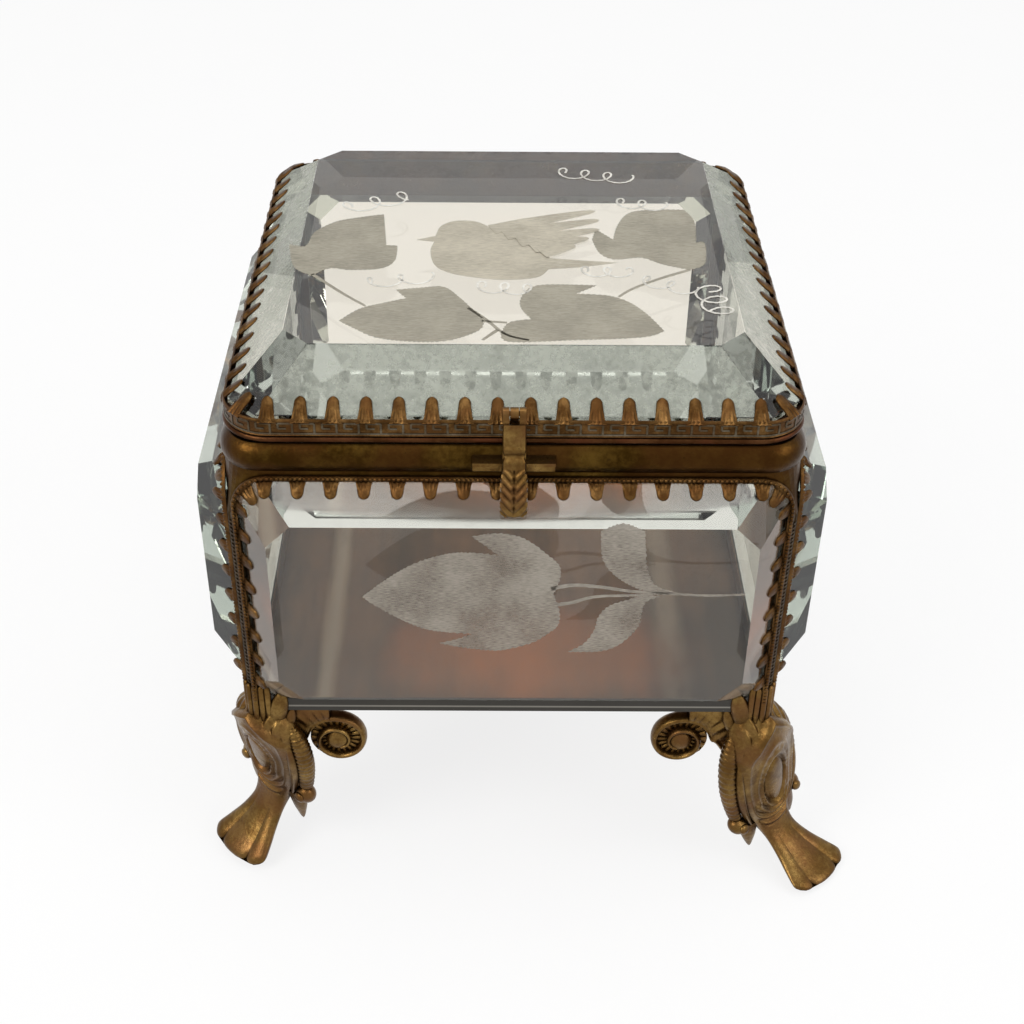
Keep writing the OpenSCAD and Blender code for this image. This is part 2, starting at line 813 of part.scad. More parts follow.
// Centre line of the strap: t runs from 0 at the pivot to 1 at its foot
function strap_y(t) = strap_y0 - strap_out * sin(90 * t) + strap_curl * pow(max(0, t - 0.8) / 0.2, 2);
function strap_z(t) = hasp_z - t * hasp_l;

module hasp() {
    steps = 28;
    side = [for (k = [0 : steps]) [strap_y(k / steps) - hasp_t / 2, strap_z(k / steps)]];
    back = [for (k = [steps : -1 : 0]) [strap_y(k / steps) + hasp_t / 2, strap_z(k / steps)]];
    color(brass)
        difference() {
            union() {
                hasp_barrel(hasp_w);
                intersection() {
                    translate([-hasp_foot_w / 2, 0, 0])
                        rotate([90, 0, 90])
                            linear_extrude(hasp_foot_w)
                                polygon(concat(side, back));
                    translate([0, hasp_y + hasp_l / 2, 0])
                        upright(0, 2 * hasp_l) {
                            polygon([[-hasp_w / 2, hasp_z + 1], [-hasp_w / 2, hasp_z - hasp_l / 2],
                                [-hasp_foot_w / 2, hasp_z - hasp_l * 0.62],
                                [-hasp_foot_w / 2, hasp_z - hasp_l + 1.4], [-hasp_foot_w / 2 + 1, hasp_z - hasp_l],
                                [hasp_foot_w / 2 - 1, hasp_z - hasp_l], [hasp_foot_w / 2, hasp_z - hasp_l + 1.4],
                                [hasp_foot_w / 2, hasp_z - hasp_l * 0.62], [hasp_w / 2, hasp_z - hasp_l / 2],
                                [hasp_w / 2, hasp_z + 1]]);
                        }
                }
            }
            hasp_bore();
            translate([-lug_w / 2 - knuckle_gap, hasp_y - 2 * hasp_knuckle_r, hasp_z - 1.3 * hasp_knuckle_r])
                cube([lug_w + 2 * knuckle_gap, 4 * hasp_knuckle_r, 3 * hasp_knuckle_r]);
        }
}

tray();
post(-1, -1);  // post_front_left
post(1, -1);  // post_front_right
post(-1, 1);  // post_back_left
post(1, 1);  // post_back_right
top_rail();
gallery(0);  // front_gallery
gallery(1);  // right_gallery
gallery(2);  // back_gallery
gallery(3);  // left_gallery
side_glass(0);  // front_glass
side_glass(1);  // right_glass
side_glass(2);  // back_glass
side_glass(3);  // left_glass
foot(-1, -1, [0, left_bend]);  // foot_front_left
foot(1, -1, [right_bend, right_bend / 5]);  // foot_front_right
foot(-1, 1, [-right_bend, -right_bend / 5]);  // foot_back_left
foot(1, 1, [0, -left_bend]);  // foot_back_right
catch_ledge();
hinge_case_leaf();
hinge_pin();
hinge_lid_leaf();
lid_rim();
lid_gallery();
lid_glass();
hasp_lug();
hasp_pin();
hasp();
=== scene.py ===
from math import atan2, ceil, cos, degrees, exp, floor, hypot, pi, radians, sin, sqrt, tan, tau
from types import SimpleNamespace as Values

import bmesh
import bpy
from mathutils import Matrix, Vector
from mathutils.geometry import delaunay_2d_cdt


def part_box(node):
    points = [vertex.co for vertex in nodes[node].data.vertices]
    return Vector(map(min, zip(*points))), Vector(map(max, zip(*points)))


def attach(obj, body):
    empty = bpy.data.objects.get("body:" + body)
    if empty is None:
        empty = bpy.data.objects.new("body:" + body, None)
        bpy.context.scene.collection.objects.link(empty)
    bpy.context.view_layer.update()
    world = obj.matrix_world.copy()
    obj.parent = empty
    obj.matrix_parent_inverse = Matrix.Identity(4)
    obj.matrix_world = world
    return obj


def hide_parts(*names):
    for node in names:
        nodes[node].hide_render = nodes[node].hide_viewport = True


mm = 0.001

print("frame: loading the packed model")
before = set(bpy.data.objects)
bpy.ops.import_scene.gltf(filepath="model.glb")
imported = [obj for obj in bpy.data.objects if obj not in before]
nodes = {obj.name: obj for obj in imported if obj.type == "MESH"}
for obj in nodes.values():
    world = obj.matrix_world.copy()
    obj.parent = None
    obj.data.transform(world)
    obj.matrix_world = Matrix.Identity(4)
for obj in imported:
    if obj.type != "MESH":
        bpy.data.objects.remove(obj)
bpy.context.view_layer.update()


def addObject(name, data):
    thing = bpy.data.objects.new(name, data)
    bpy.context.scene.collection.objects.link(thing)
    return thing


# camera

cameraSetup = {
    "place": (-0.00509, -0.3202, 0.30166),
    "target": (-0.0032, 0.0, 0.06148),
    "roll": 0.0084,  # radians
    "lens": 55.62,
    "sensor": 36,
    "near": 0.01,
    "shift": (0.01604, -0.00159),
}


def makeCamera(setup):
    data = bpy.data.cameras.new("camera")
    camera = addObject("camera", data)
    data.sensor_width = setup.sensor
    data.lens = setup.lens
    data.shift_x, data.shift_y = setup.shift
    data.clip_start = setup.near
    place = Vector(setup.place)
    aim = (Vector(setup.target) - place).to_track_quat("-Z", "Y").to_matrix()
    roll = Matrix.Rotation(setup.roll, 3, "Z")
    camera.matrix_world = Matrix.Translation(place) @ (aim @ roll).to_4x4()
    bpy.context.scene.camera = camera


makeCamera(Values(**cameraSetup))

# shader helpers


class Wire:
    # a number travelling between nodes; ordinary operators add Math nodes

    def __init__(self, paint, socket):
        self.paint = paint
        self.socket = socket

    def __add__(self, other):
        return self.paint.math("ADD", self, other)

    def __sub__(self, other):
        return self.paint.math("SUBTRACT", self, other)

    def __rsub__(self, other):
        return self.paint.math("SUBTRACT", other, self)

    def __mul__(self, other):
        return self.paint.math("MULTIPLY", self, other)

    def __truediv__(self, other):
        return self.paint.math("DIVIDE", self, other)

    def __abs__(self):
        return self.paint.math("ABSOLUTE", self)

    __radd__ = __add__
    __rmul__ = __mul__


class Paint:
    # one material, or the world, and the nodes in it

    def __init__(self, name, kind="Material"):
        self.owner = (bpy.data.worlds if kind == "World" else bpy.data.materials).new(name)
        self.owner.use_nodes = True
        self.tree = self.owner.node_tree
        self.tree.nodes.clear()
        self.output = self.tree.nodes.new("ShaderNodeOutput" + kind)

    def add(self, kind, settings=None, inputs=None):
        node = self.tree.nodes.new(kind)
        for name, value in (settings or {}).items():
            setattr(node, name, value)
        for name, value in (inputs or {}).items():
            self.feed(node.inputs[name], value)
        return node

    def feed(self, socket, value):
        if isinstance(value, Wire):
            value = value.socket
        if isinstance(value, bpy.types.NodeSocket):
            self.tree.links.new(value, socket)
        elif isinstance(value, tuple) and len(value) == 3 and socket.type == "RGBA":
            socket.default_value = (*value, 1)
        else:
            socket.default_value = value

    def math(self, operation, *values):
        node = self.add("ShaderNodeMath", {"operation": operation}, dict(enumerate(values)))
        return Wire(self, node.outputs[0])

    def place(self, scale=(1, 1, 1)):
        # where a point of the piece is, in metres, stretched by scale
        where = self.add("ShaderNodeTexCoord").outputs["Object"]
        node = self.add("ShaderNodeMapping", None, {"Vector": where, "Scale": scale})
        return node.outputs[0]

    def noise(self, size, detail=3, rough=0.55, stretch=(1, 1, 1)):
        # size is the width of one patch, in metres
        inputs = {"Vector": self.place(stretch), "Scale": 1 / size, "Detail": detail, "Roughness": rough}
        return Wire(self, self.add("ShaderNodeTexNoise", None, inputs).outputs[0])

    def step(self, value, low, high):
        # 0 below low, 1 above high
        inputs = {0: value, 1: low, 2: high}
        node = self.add("ShaderNodeMapRange", {"interpolation_type": "SMOOTHSTEP"}, inputs)
        return Wire(self, node.outputs[0])

    def mix(self, factor, first, second):
        node = self.add("ShaderNodeMix", {"data_type": "RGBA"}, {0: factor, 6: first, 7: second})
        return node.outputs[2]

    def blend(self, factor, first, second):
        # the whole surface: one shader over another
        node = self.add("ShaderNodeMixShader", None, {0: factor, 1: first.outputs[0], 2: second.outputs[0]})
        self.show(node)

    def bump(self, height, distance, strength):
        inputs = {"Height": height, "Distance": distance, "Strength": strength}
        return self.add("ShaderNodeBump", None, inputs).outputs[0]

    def show(self, node, place=0):
        self.feed(self.output.inputs[place], node.outputs[0])

    def surface(self, inputs):
        self.show(self.add("ShaderNodeBsdfPrincipled", None, inputs))

    def axis(self, name):
        # where a point lies along one axis of the frame, in millimetres
        where = self.add("ShaderNodeTexCoord").outputs["Object"]
        apart = self.add("ShaderNodeSeparateXYZ", None, {0: where})
        return Wire(self, apart.outputs[name]) / mm

    def crevice(self, reach):
        # 1 in the open, 0 deep in a crevice
        node = self.add("ShaderNodeAmbientOcclusion", {"samples": 6}, {"Distance": reach})
        return Wire(self, node.outputs["AO"])

    def seen(self):
        # 1 where the camera sees the surface, straight, in a reflection or through glass
        path = self.add("ShaderNodeLightPath").outputs
        straight = self.math("MAXIMUM", path["Is Camera Ray"], path["Is Glossy Ray"])
        return self.math("MAXIMUM", straight, path["Is Transmission Ray"])


# brass

brassLooks = {
    "castBrass": {
        "deep": (0.019, 0.009, 0.002), "body": (0.1, 0.051, 0.014), "bright": (0.24, 0.148, 0.046),
        "copper": (0.132, 0.06, 0.024), "copperShare": 0.56, "patch": 0.007, "rough": 0.37, "grain": 0.00036,
    },
    "railBrass": {
        "deep": (0.005, 0.002, 0.001), "body": (0.027, 0.013, 0.002), "bright": (0.096, 0.053, 0.01),
        "copper": (0.048, 0.018, 0.005), "copperShare": 0.63, "patch": 0.01, "rough": 0.36, "grain": 0.0003,
    },
    "rimBrass": {
        "deep": (0.006, 0.003, 0.002), "body": (0.04, 0.015, 0.005), "bright": (0.104, 0.046, 0.018),
        "copper": (0.072, 0.024, 0.01), "copperShare": 0.84, "patch": 0.006, "rough": 0.38, "grain": 0.0003,
    },
    "stampedBrass": {
        "deep": (0.006, 0.003, 0.001), "body": (0.049, 0.022, 0.006), "bright": (0.167, 0.09, 0.03),
        "copper": (0.088, 0.038, 0.012), "copperShare": 0.532, "patch": 0.004,
        "rough": 0.38, "grain": 0.00036,
    },
    "postBrass": {
        "deep": (0.005, 0.003, 0.001), "body": (0.024, 0.013, 0.003), "bright": (0.07, 0.042, 0.012),
        "copper": (0.04, 0.018, 0.006), "copperShare": 0.49, "patch": 0.005, "rough": 0.4, "grain": 0.00036,
    },
    "wornKey": {
        "deep": (0.022, 0.014, 0.008), "body": (0.068, 0.052, 0.032), "bright": (0.166, 0.137, 0.097),
        "copper": (0.072, 0.043, 0.022), "copperShare": 0.42, "patch": 0.004, "rough": 0.44, "grain": 0.00024,
    },
}

# shared by every brass: where each mask starts and ends, and how strong the grime and the specks are
patina = {
    "coarse": 0.7, "wear": (0.4, 0.7), "blush": (0.44, 0.62), "open": (0.3, 0.85), "reach": 0.0012,
    "grime": 0.92, "specks": (0.6, 0.72), "speckShare": 0.5, "speckPatch": (0.3, 0.5),
    "dirtRough": 0.3, "wornSmooth": 0.12, "coarseRelief": 0.4, "bump": 0.5,
}


def makeBrass(name, look):
    paint = Paint(name)
    cloud = paint.noise(look.patch, 5, 0.62)
    fine = paint.noise(look.patch / 9, 4, 0.6)
    blush = paint.noise(look.patch * 1.7, 3, 0.5, (1, 1, 1.4))
    wear = paint.step(cloud * look.coarse + fine * (1 - look.coarse), *look.wear)
    colour = paint.mix(wear, look.body, look.bright)
    blushed = paint.step(blush, *look.blush) * look.copperShare
    colour = paint.mix(blushed, colour, look.copper)
    grime = (1 - paint.step(paint.crevice(look.reach), *look.open)) * look.grime
    specks = paint.step(fine, *look.specks) * look.speckShare
    dirt = paint.math("MAXIMUM", grime, specks * paint.step(cloud, *look.speckPatch))
    colour = paint.mix(dirt, colour, look.deep)
    relief = cloud * look.coarseRelief + fine * (1 - look.coarseRelief)
    paint.surface({
        "Base Color": colour, "Metallic": 1.0,
        "Roughness": dirt * look.dirtRough + look.rough - wear * look.wornSmooth,
        "Normal": paint.bump(relief, look.grain, look.bump),
    })
    return paint.owner


trayLook = {
    "shade": (0.072, 0.052, 0.036), "warm": (0.165, 0.095, 0.054), "copper": (0.48, 0.165, 0.05),
    # the edge colour is painted shade on the outer lip, and the bright line colour is a painted highlight
    # along it
    "shine": (0.42, 0.35, 0.27), "edge": (0.06, 0.056, 0.05), "brightLine": (0.35, 0.33, 0.29),
    "inside": (56.5, 58.5), "lineAt": 51.9, "lineWidth": (0.1, 0.35), "lineShare": 0.6,
    "copperAt": (4, -38), "copperReach": (34, 20), "copperShare": 0.75, "copperFade": (1.1, 3.2),
    "ragged": 3.4,
    "streaks": ((-40.5, 3.2, 0.6), (39.5, 5.0, 0.45)),  # each: place, reach, share
    "streakCloud": (0.34, 0.55), "wave": 3, "brush": 0.004, "cloud": 0.022, "smooth": 0.75,
    "wear": (0.38, 0.66), "rough": 0.3, "dullCloud": (0.3, 0.7), "dullRough": 0.14, "rimRough": 0.15,
    "grain": 0.00006, "bump": 0.25,
}


def makeTrayMetal(name, look):
    # the floor of the case: darkened plate, worn to copper near its front, with painted shade on its outer
    # lip and a painted highlight line along it
    paint = Paint(name)
    x, y, z = (paint.axis(name) for name in "XYZ")
    brush = paint.noise(look.brush, 5, 0.6, (1, 0.1, 1))
    cloud = paint.noise(look.cloud, 4, 0.55, (1, 0.45, 1))
    wear = paint.step(cloud * look.smooth + brush * (1 - look.smooth), *look.wear)
    colour = paint.mix(wear, look.shade, look.warm)
    across = (x - look.copperAt[0]) / look.copperReach[0]
    along = (y - look.copperAt[1]) / look.copperReach[1]
    glow = 1 - paint.step(across * across + along * along + cloud * look.ragged, *look.copperFade)
    colour = paint.mix(glow * look.copperShare, colour, look.copper)
    for place, reach, share in look.streaks:
        away = abs(x + brush * look.wave - place) / reach
        streak = (1 - paint.step(away, 0.1, 1.0)) * paint.step(cloud, *look.streakCloud) * share
        colour = paint.mix(streak, colour, look.shine)
    # painted shade: the outer lip is darkened to the edge colour
    outer = paint.math("MAXIMUM", abs(x) - look.inside[0], abs(y) - look.inside[1])
    rim = paint.step(outer, 0, 0.3)
    colour = paint.mix(rim, colour, look.edge)
    # painted highlight: a pale line along the shaded lip, where the glass edge catches the light
    line = (1 - paint.step(abs(z - look.lineAt), *look.lineWidth)) * rim
    colour = paint.mix(line * look.lineShare, colour, look.brightLine)
    dull = paint.step(cloud, *look.dullCloud) * look.dullRough
    paint.surface({
        "Base Color": colour, "Metallic": 1.0, "Roughness": dull + look.rough + rim * look.rimRough,
        "Normal": paint.bump(cloud, look.grain, look.bump),
    })
    return paint.owner


# glass

plateGlass = {
    "depthColour": (0.893, 0.908, 0.898), "shadow": (0.93, 0.94, 0.93), "ior": 1.5, "rough": 0.012,
    "haze": 0.02, "hazeCloud": (0.5, 0.8), "hazeRough": 0.01,
    "oldGlass": {"tint": (0.985, 0.95, 0.89), "density": 42},
    # painted shade: the side panes are the same glass, given a darker tint and denser absorption
    "shadedGlass": {"tint": (0.86, 0.87, 0.8), "density": 60},
}

# the bevels pass light on many times
lightPaths = {
    "max_bounces": 24, "glossy_bounces": 16, "transmission_bounces": 24, "transparent_max_bounces": 16,
}


def makeGlass(name):
    look = Values(**(plateGlass | plateGlass[name]))
    paint = Paint(name)
    haze = paint.step(paint.noise(look.haze, 4, 0.6), *look.hazeCloud) * look.hazeRough
    body = paint.add("ShaderNodeBsdfPrincipled", None, {
        "Base Color": look.tint, "Roughness": haze + look.rough,
        "IOR": look.ior, "Transmission Weight": 1.0,
    })
    clear = paint.add("ShaderNodeBsdfTransparent", None, {"Color": look.shadow})
    paint.blend(paint.add("ShaderNodeLightPath").outputs["Is Shadow Ray"], body, clear)
    inputs = {"Color": look.depthColour, "Density": look.density}
    paint.show(paint.add("ShaderNodeVolumeAbsorption", None, inputs), 1)
    return paint.owner


def dress(names, material):
    for name in names:
        data = nodes[name].data
        data.materials.clear()
        data.materials.append(material)


print("materials: brass and glass")
for setting, value in lightPaths.items():
    setattr(bpy.context.scene.cycles, setting, value)
brass = {name: makeBrass(name, Values(**patina, **look)) for name, look in brassLooks.items()}
sides = ("front", "right", "back", "left")
corners = ("front_left", "front_right", "back_left", "back_right")
dress(["tray"], makeTrayMetal("agedTray", Values(**trayLook)))
dress(["top_rail", "hinge_case_leaf", "hinge_lid_leaf", "hinge_pin"], brass["railBrass"])
dress(["lid_rim"], brass["rimBrass"])
dress(["post_" + corner for corner in corners], brass["postBrass"])
dress(["catch_ledge", "hasp_lug", "hasp_pin", "hasp"], brass["castBrass"])
dress(["front_glass", "back_glass", "lid_glass"], makeGlass("oldGlass"))
# the side panes take the glass with painted shade
dress(["right_glass", "left_glass"], makeGlass("shadedGlass"))

# mesh helpers


def up(z):
    return Vector((0, 0, z))


def shares(count):
    # even steps from 0 to 1
    return [k / count for k in range(count + 1)]


def circle(count):
    # (cosine, sine) at even steps round
    return [(cos(tau * k / count), sin(tau * k / count)) for k in range(count)]


class Form:
    # the points, in millimetres, and the faces of one piece

    def __init__(self):
        self.points = []
        self.faces = []

    def add(self, points, faces, move=Matrix()):
        first = len(self.points)
        self.points += [move @ Vector(point) for point in points]
        self.faces += [[first + k for k in face] for face in faces]

    def loft(self, rings, move=Matrix(), wrap=False):
        # skin over rings of equal length; the two ends are closed unless the rings wrap round
        count, total = len(rings[0]), len(rings)
        faces = []
        for j in range(total if wrap else total - 1):
            a, b = j * count, (j + 1) % total * count
            faces += [(a + k, a + (k + 1) % count, b + (k + 1) % count, b + k) for k in range(count)]
        if not wrap:
            faces.append(range(count))
            faces.append(range((total - 1) * count, total * count))
        self.add([point for ring in rings for point in ring], faces, move)

    def tube(self, path, sizes, sides=10, move=Matrix(), across=(0, 1, 0)):
        # round bar along a path; sizes holds its half width and its half depth along across
        rings = []
        path = [Vector(point) for point in path]
        for point, ahead, (wide, deep) in zip(path, headings(path), sizes):
            side = ahead.cross(Vector(across)).normalized()
            over = side.cross(ahead)
            rings.append([point + side * wide * c + over * deep * s for c, s in circle(sides)])
        self.loft(rings, move)

    def ball(self, centre, radii, move=Matrix(), sides=16, rows=9):
        (x, y, z), (rx, ry, rz) = centre, radii
        rings = []
        for share in shares(rows):
            a = pi * (0.02 + 0.96 * share)
            level, wide = z + rz * cos(a), sin(a)
            rings.append([(x + rx * wide * c, y + ry * wide * s, level) for c, s in circle(sides)])
        self.loft(rings, move)


def headings(line):
    # the way that a line of vectors runs at each of its points
    last = len(line) - 1
    return [(line[min(k + 1, last)] - line[max(k - 1, 0)]).normalized() for k in range(last + 1)]


def smoothLine(stops, steps):
    # points of any size joined by a smooth curve through them
    line = []
    last = len(stops) - 1
    for k in range(last):
        a, b, c, d = (stops[min(max(k + shift, 0), last)] for shift in (-1, 0, 1, 2))
        for j in range(steps):
            t = j / steps
            line.append(tuple(
                0.5 * (
                    2 * q + (r - p) * t + (2 * p - 5 * q + 4 * r - s) * t * t
                    + (3 * q - 3 * r + s - p) * t ** 3
                )
                for p, q, r, s in zip(a, b, c, d)
            ))
    return line + [tuple(stops[-1])]


def between(first, second, share):
    return first + (second - first) * share


def ridge(value, middle, width):
    return exp(-((value - middle) / width) ** 2)


def fade(value, low, high):
    t = min(max((value - low) / (high - low), 0), 1)
    return t * t * (3 - 2 * t)


def turn(degrees, axis):
    return Matrix.Rotation(radians(degrees), 4, axis)


def shift(x, y, z):
    return Matrix.Translation((x, y, z))


def boxOf(node):
    low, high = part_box(node)
    return low / mm, high / mm


weldReach = 2e-6  # metres; points closer than this become one


def makePiece(name, form, material, body, replaced=(), sharp=42):
    mesh = bpy.data.meshes.new(name)
    mesh.from_pydata([point * mm for point in form.points], [], form.faces)
    shell = bmesh.new()
    shell.from_mesh(mesh)
    bmesh.ops.remove_doubles(shell, verts=shell.verts, dist=weldReach)
    bmesh.ops.recalc_face_normals(shell, faces=shell.faces)
    shell.to_mesh(mesh)
    shell.free()
    mesh.shade_smooth()
    mesh.set_sharp_from_angle(angle=radians(sharp))
    mesh.materials.append(material)
    piece = addObject(name, mesh)
    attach(piece, body)
    if replaced:
        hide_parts(*replaced)
    print("piece:", name, len(mesh.polygons), "faces")


# places taken from the frame

cornerPost = boxOf("post_front_right")
frontPane = boxOf("front_glass")
caseHalf = (cornerPost[1][0], -cornerPost[0][1])
postTop = cornerPost[1][2]
paneLow, paneHigh = frontPane[0][2], frontPane[1][2]
paneHalf = (frontPane[1][0], boxOf("right_glass")[1][1])
frontFace = frontPane[0][1]
lidFace = boxOf("lid_glass")[1][2]
footHigh = boxOf("tray")[0][2]


def onSide(i):
    # moves a piece made for the front to side i; its face is at y = 0 and looks along -y
    return turn(90 * i, "Z") @ shift(0, -caseHalf[1 - i % 2], 0)


# galleries: strips with prongs bent over the glass

prongShape = {
    "rootHalf": 1.6, "tipHalf": 1.12, "flare": 0.35, "skirt": 0.26, "belly": 0.42, "reed": 0.1,
    "reeded": (0.42, 0.62), "rows": 13, "columns": 16,
}
prong = Values(**prongShape)

galleryShape = {
    "cover": 0.6, "wide": 1.3, "thick": 0.6, "round": 8, "clip": 4.6, "flatClip": 5.2, "bevel": 6.8,
    "rise": 8.3, "pitch": 6.4, "prong": 3.9, "root": 1.65, "beadRadius": 0.45, "beadPitch": 0.95,
    "cornerSteps": 8,
    # the strip's face, as share of its width and height
    "dome": [
        (0, -0.05), (0, 0.42), (0.06, 0.58), (0.3, 0.66), (0.7, 0.66), (0.94, 0.58), (1, 0.42), (1, -0.05),
    ],
}
gallery = Values(**galleryShape)


def addProng(form, move, length, outward, sink=0.1):
    # a finger along y with its root at y = 0; it is reeded below, smooth above, and its tip meets the glass
    rings = []
    for share in shares(prong.rows):
        s = 1 - (1 - share) ** 1.5
        half = between(prong.rootHalf, prong.tipHalf, s) + prong.flare * (1 - s) ** 6
        left = (1 - s) * length / prong.tipHalf
        half *= sqrt(max(1 - (1 - min(left, 1)) ** 2, 0.0004))
        arch = prong.skirt + prong.belly * sin(pi * min(s * 0.8 + 0.16, 1))
        reed = prong.reed * (1 - fade(s, *prong.reeded))
        y = s * (length + sink) - sink
        ring = []
        for share in shares(prong.columns):
            t = 2 * share - 1
            crown = (1 - t * t) ** 0.5
            height = arch * (0.25 + 0.75 * crown) + reed * cos(4 * pi * t)
            ring.append((t * half, y, outward * height))
        ring += [(side * half, y, -outward * 0.05) for side in (1, -1)]
        rings.append(ring)
    form.loft(rings, move)


def archLine(half, top, radius, low, step):
    # up one side, round two corners and down the other
    line = [(-half, low), (-half, top - radius)]
    arc = [radians(90 * k / step) for k in range(1, step + 1)]
    line += [(-half + radius - radius * cos(a), top - radius + radius * sin(a)) for a in arc]
    return line + [(-x, z) for x, z in reversed(line)]


def evenly(line, step):
    # the same line with points every step along it
    points = [Vector(point) for point in line]
    out = []
    for a, b in zip(points, points[1:]):
        pieces = max(1, round((b - a).length / step))
        out += [between(a, b, k / pieces) for k in range(pieces)]
    return out + [points[-1]]


def row(start, end, pitch, whole=floor):
    # even places from start to end, about pitch apart
    return [between(start, end, share) for share in shares(whole((end - start) / pitch))]


def steepness(rise, run):
    return degrees(atan2(rise, run))


def makeGallery(i):
    half, low, top = paneHalf[i % 2], paneLow, paneHigh
    xIn, zIn = half - gallery.cover, top - gallery.cover
    clip = gallery.clip - (2 - sqrt(2)) * gallery.cover
    place = onSide(i)
    form = Form()

    # strip: rounded outside, clipped inside, with a softly domed face
    steps = gallery.cornerSteps
    outer = archLine(xIn + gallery.wide, zIn + gallery.wide, gallery.round, low, steps)
    corner = [(-xIn + clip * k / steps, zIn - clip + clip * k / steps) for k in range(steps + 1)]
    inner = [(-xIn, low)] + corner
    inner += [(-x, z) for x, z in reversed(inner)]
    rings = []
    for (x, z), (farX, farZ) in zip(inner, outer):
        rings.append([(between(x, farX, s), -high, between(z, farZ, s)) for s, high in gallery.dome])
    form.loft(rings, place)

    # grains along the outer edge
    size = gallery.beadRadius
    inset = gallery.wide - size - 0.1
    beadLine = archLine(xIn + inset, zIn + inset, gallery.round - size - 0.1, low, 10)
    for x, z in evenly(beadLine, gallery.beadPitch):
        form.ball((x, -gallery.thick, z), (size, size * 1.05, size), place, 8, 5)

    # prongs: a row along the top, a column at each side and one across each corner
    slope = steepness(gallery.rise, gallery.bevel)
    cornerRun = (2 * gallery.bevel + gallery.flatClip - gallery.clip) / sqrt(2)
    rowHalf = xIn - clip - gallery.root - 0.2
    spots = [(x, zIn, 0, slope) for x in row(-rowHalf, rowHalf, gallery.pitch)]
    zLow = low + gallery.clip + gallery.root
    zHigh = zIn - clip - gallery.root - 0.6
    for side in (-1, 1):
        spots += [(side * xIn, z, 90 * side, slope) for z in row(zLow, zHigh, gallery.pitch)]
        spots.append((side * (xIn - clip / 2), zIn - clip / 2, 45 * side, steepness(gallery.rise, cornerRun)))
    for x, z, facing, lean in spots:
        move = place @ shift(x, -0.08, z) @ turn(facing, "Y") @ turn(-90 - lean, "X")
        addProng(form, move, gallery.prong, -1)
    name = sides[i]
    makePiece(name + "Prongs", form, brass["stampedBrass"], "case", [name + "_gallery"])


print("galleries: strips, grains and prongs")
for i in range(4):
    makeGallery(i)

# posts: a stamped band runs down each corner

postBand = {
    "round": 2.6, "reach": 1.55, "pitch": 2.1, "line": 0.42, "lift": 0.16, "start": 1.6,
    "bead": 0.34, "beadGap": 0.55, "margin": 1,
}
post = Values(**postBand)


class Loop:
    # a rounded rectangle round the z axis, followed anticlockwise from the middle of its front

    def __init__(self, x, y, radius):
        self.radius = radius
        inX, inY, arc = x - radius, y - radius, pi / 2 * radius
        # each straight run or corner: its length, the way it faces at its start, and its start
        self.parts = [
            (inX, -90, (0, -y)), (arc, -90, (inX, -y)), (2 * inY, 0, (x, -inY)), (arc, 0, (x, inY)),
            (2 * inX, 90, (inX, y)), (arc, 90, (-inX, y)), (2 * inY, 180, (-x, inY)), (arc, 180, (-x, -inY)),
            (inX, -90, (-inX, -y)),
        ]
        self.length = sum(part[0] for part in self.parts)

    def at(self, along):
        # the point there and the way it faces
        along %= self.length
        for k, (run, facing, start) in enumerate(self.parts):
            if along <= run or k == len(self.parts) - 1:
                break
            along -= run
        start, a = Vector((*start, 0)), radians(facing)
        out = Vector((cos(a), sin(a), 0))
        if k % 2 == 0:
            return start + Vector((-out[1], out[0], 0)) * along, out
        a += along / self.radius
        ahead = Vector((cos(a), sin(a), 0))
        return start - out * self.radius + ahead * self.radius, ahead


def addLine(form, loop, start, end, width, raised):
    # a raised line on the loop's wall, level or upright, from (along, z) to (along, z)
    half = width / 2
    if start[1] == end[1]:
        steps = max(1, ceil(abs(end[0] - start[0]) / 0.8))
        spots = [(between(start[0], end[0], share), start[1]) for share in shares(steps)]
        across = ((0, -half), (0, half))
    else:
        spots = [start, end]
        across = ((-half, 0), (half, 0))
    rings = []
    for along, z in spots:
        ring = []
        for (dx, dz), heights in ((across[0], (-0.1, raised * 0.8)), (across[1], (raised * 0.8, -0.1))):
            point, out = loop.at(along + dx)
            ring += [point + out * h + up(z + dz) for h in heights]
        point, out = loop.at(along)
        ring.insert(2, point + out * raised + up(z))
        rings.append(ring)
    form.loft(rings)


def makePostBand(place, quarter):
    # quarters run anticlockwise from the front right corner
    loop = Loop(*caseHalf, post.round)
    middle = sum(part[0] for part in loop.parts[:2 * quarter + 1]) + loop.parts[1][0] / 2
    form = Form()
    reach, pitch, bead = post.reach, post.pitch, post.bead
    hook = [(-reach, 0), (reach, 0), (reach, pitch / 2), (-reach * 0.2, pitch / 2)]
    z = footHigh + post.start
    flip = 1
    while z + pitch < postTop:
        line = [(middle + flip * x, z + high) for x, high in hook]
        for start, end in zip(line, line[1:]):
            addLine(form, loop, start, end, post.line, post.lift)
        z += pitch
        flip = -flip
    low, tall = footHigh + post.margin, postTop - footHigh - 2 * post.margin
    count = round(tall / (2 * bead))
    sizes = [(bead * (1 if k % 2 else 0.72),) * 2 for k in range(count + 1)]
    for side in (-1, 1):
        spot = loop.at(middle + side * (reach + post.beadGap))[0]
        form.tube([spot + up(low + tall * share) for share in shares(count)], sizes, 7)
    makePiece("postBand" + place, form, brass["postBrass"], "case")


print("posts: stamped bands")
for place, quarter in {"FrontLeft": 3, "BackLeft": 2, "FrontRight": 0, "BackRight": 1}.items():
    makePostBand(place, quarter)

# lid band with its key pattern, and the lid's prongs

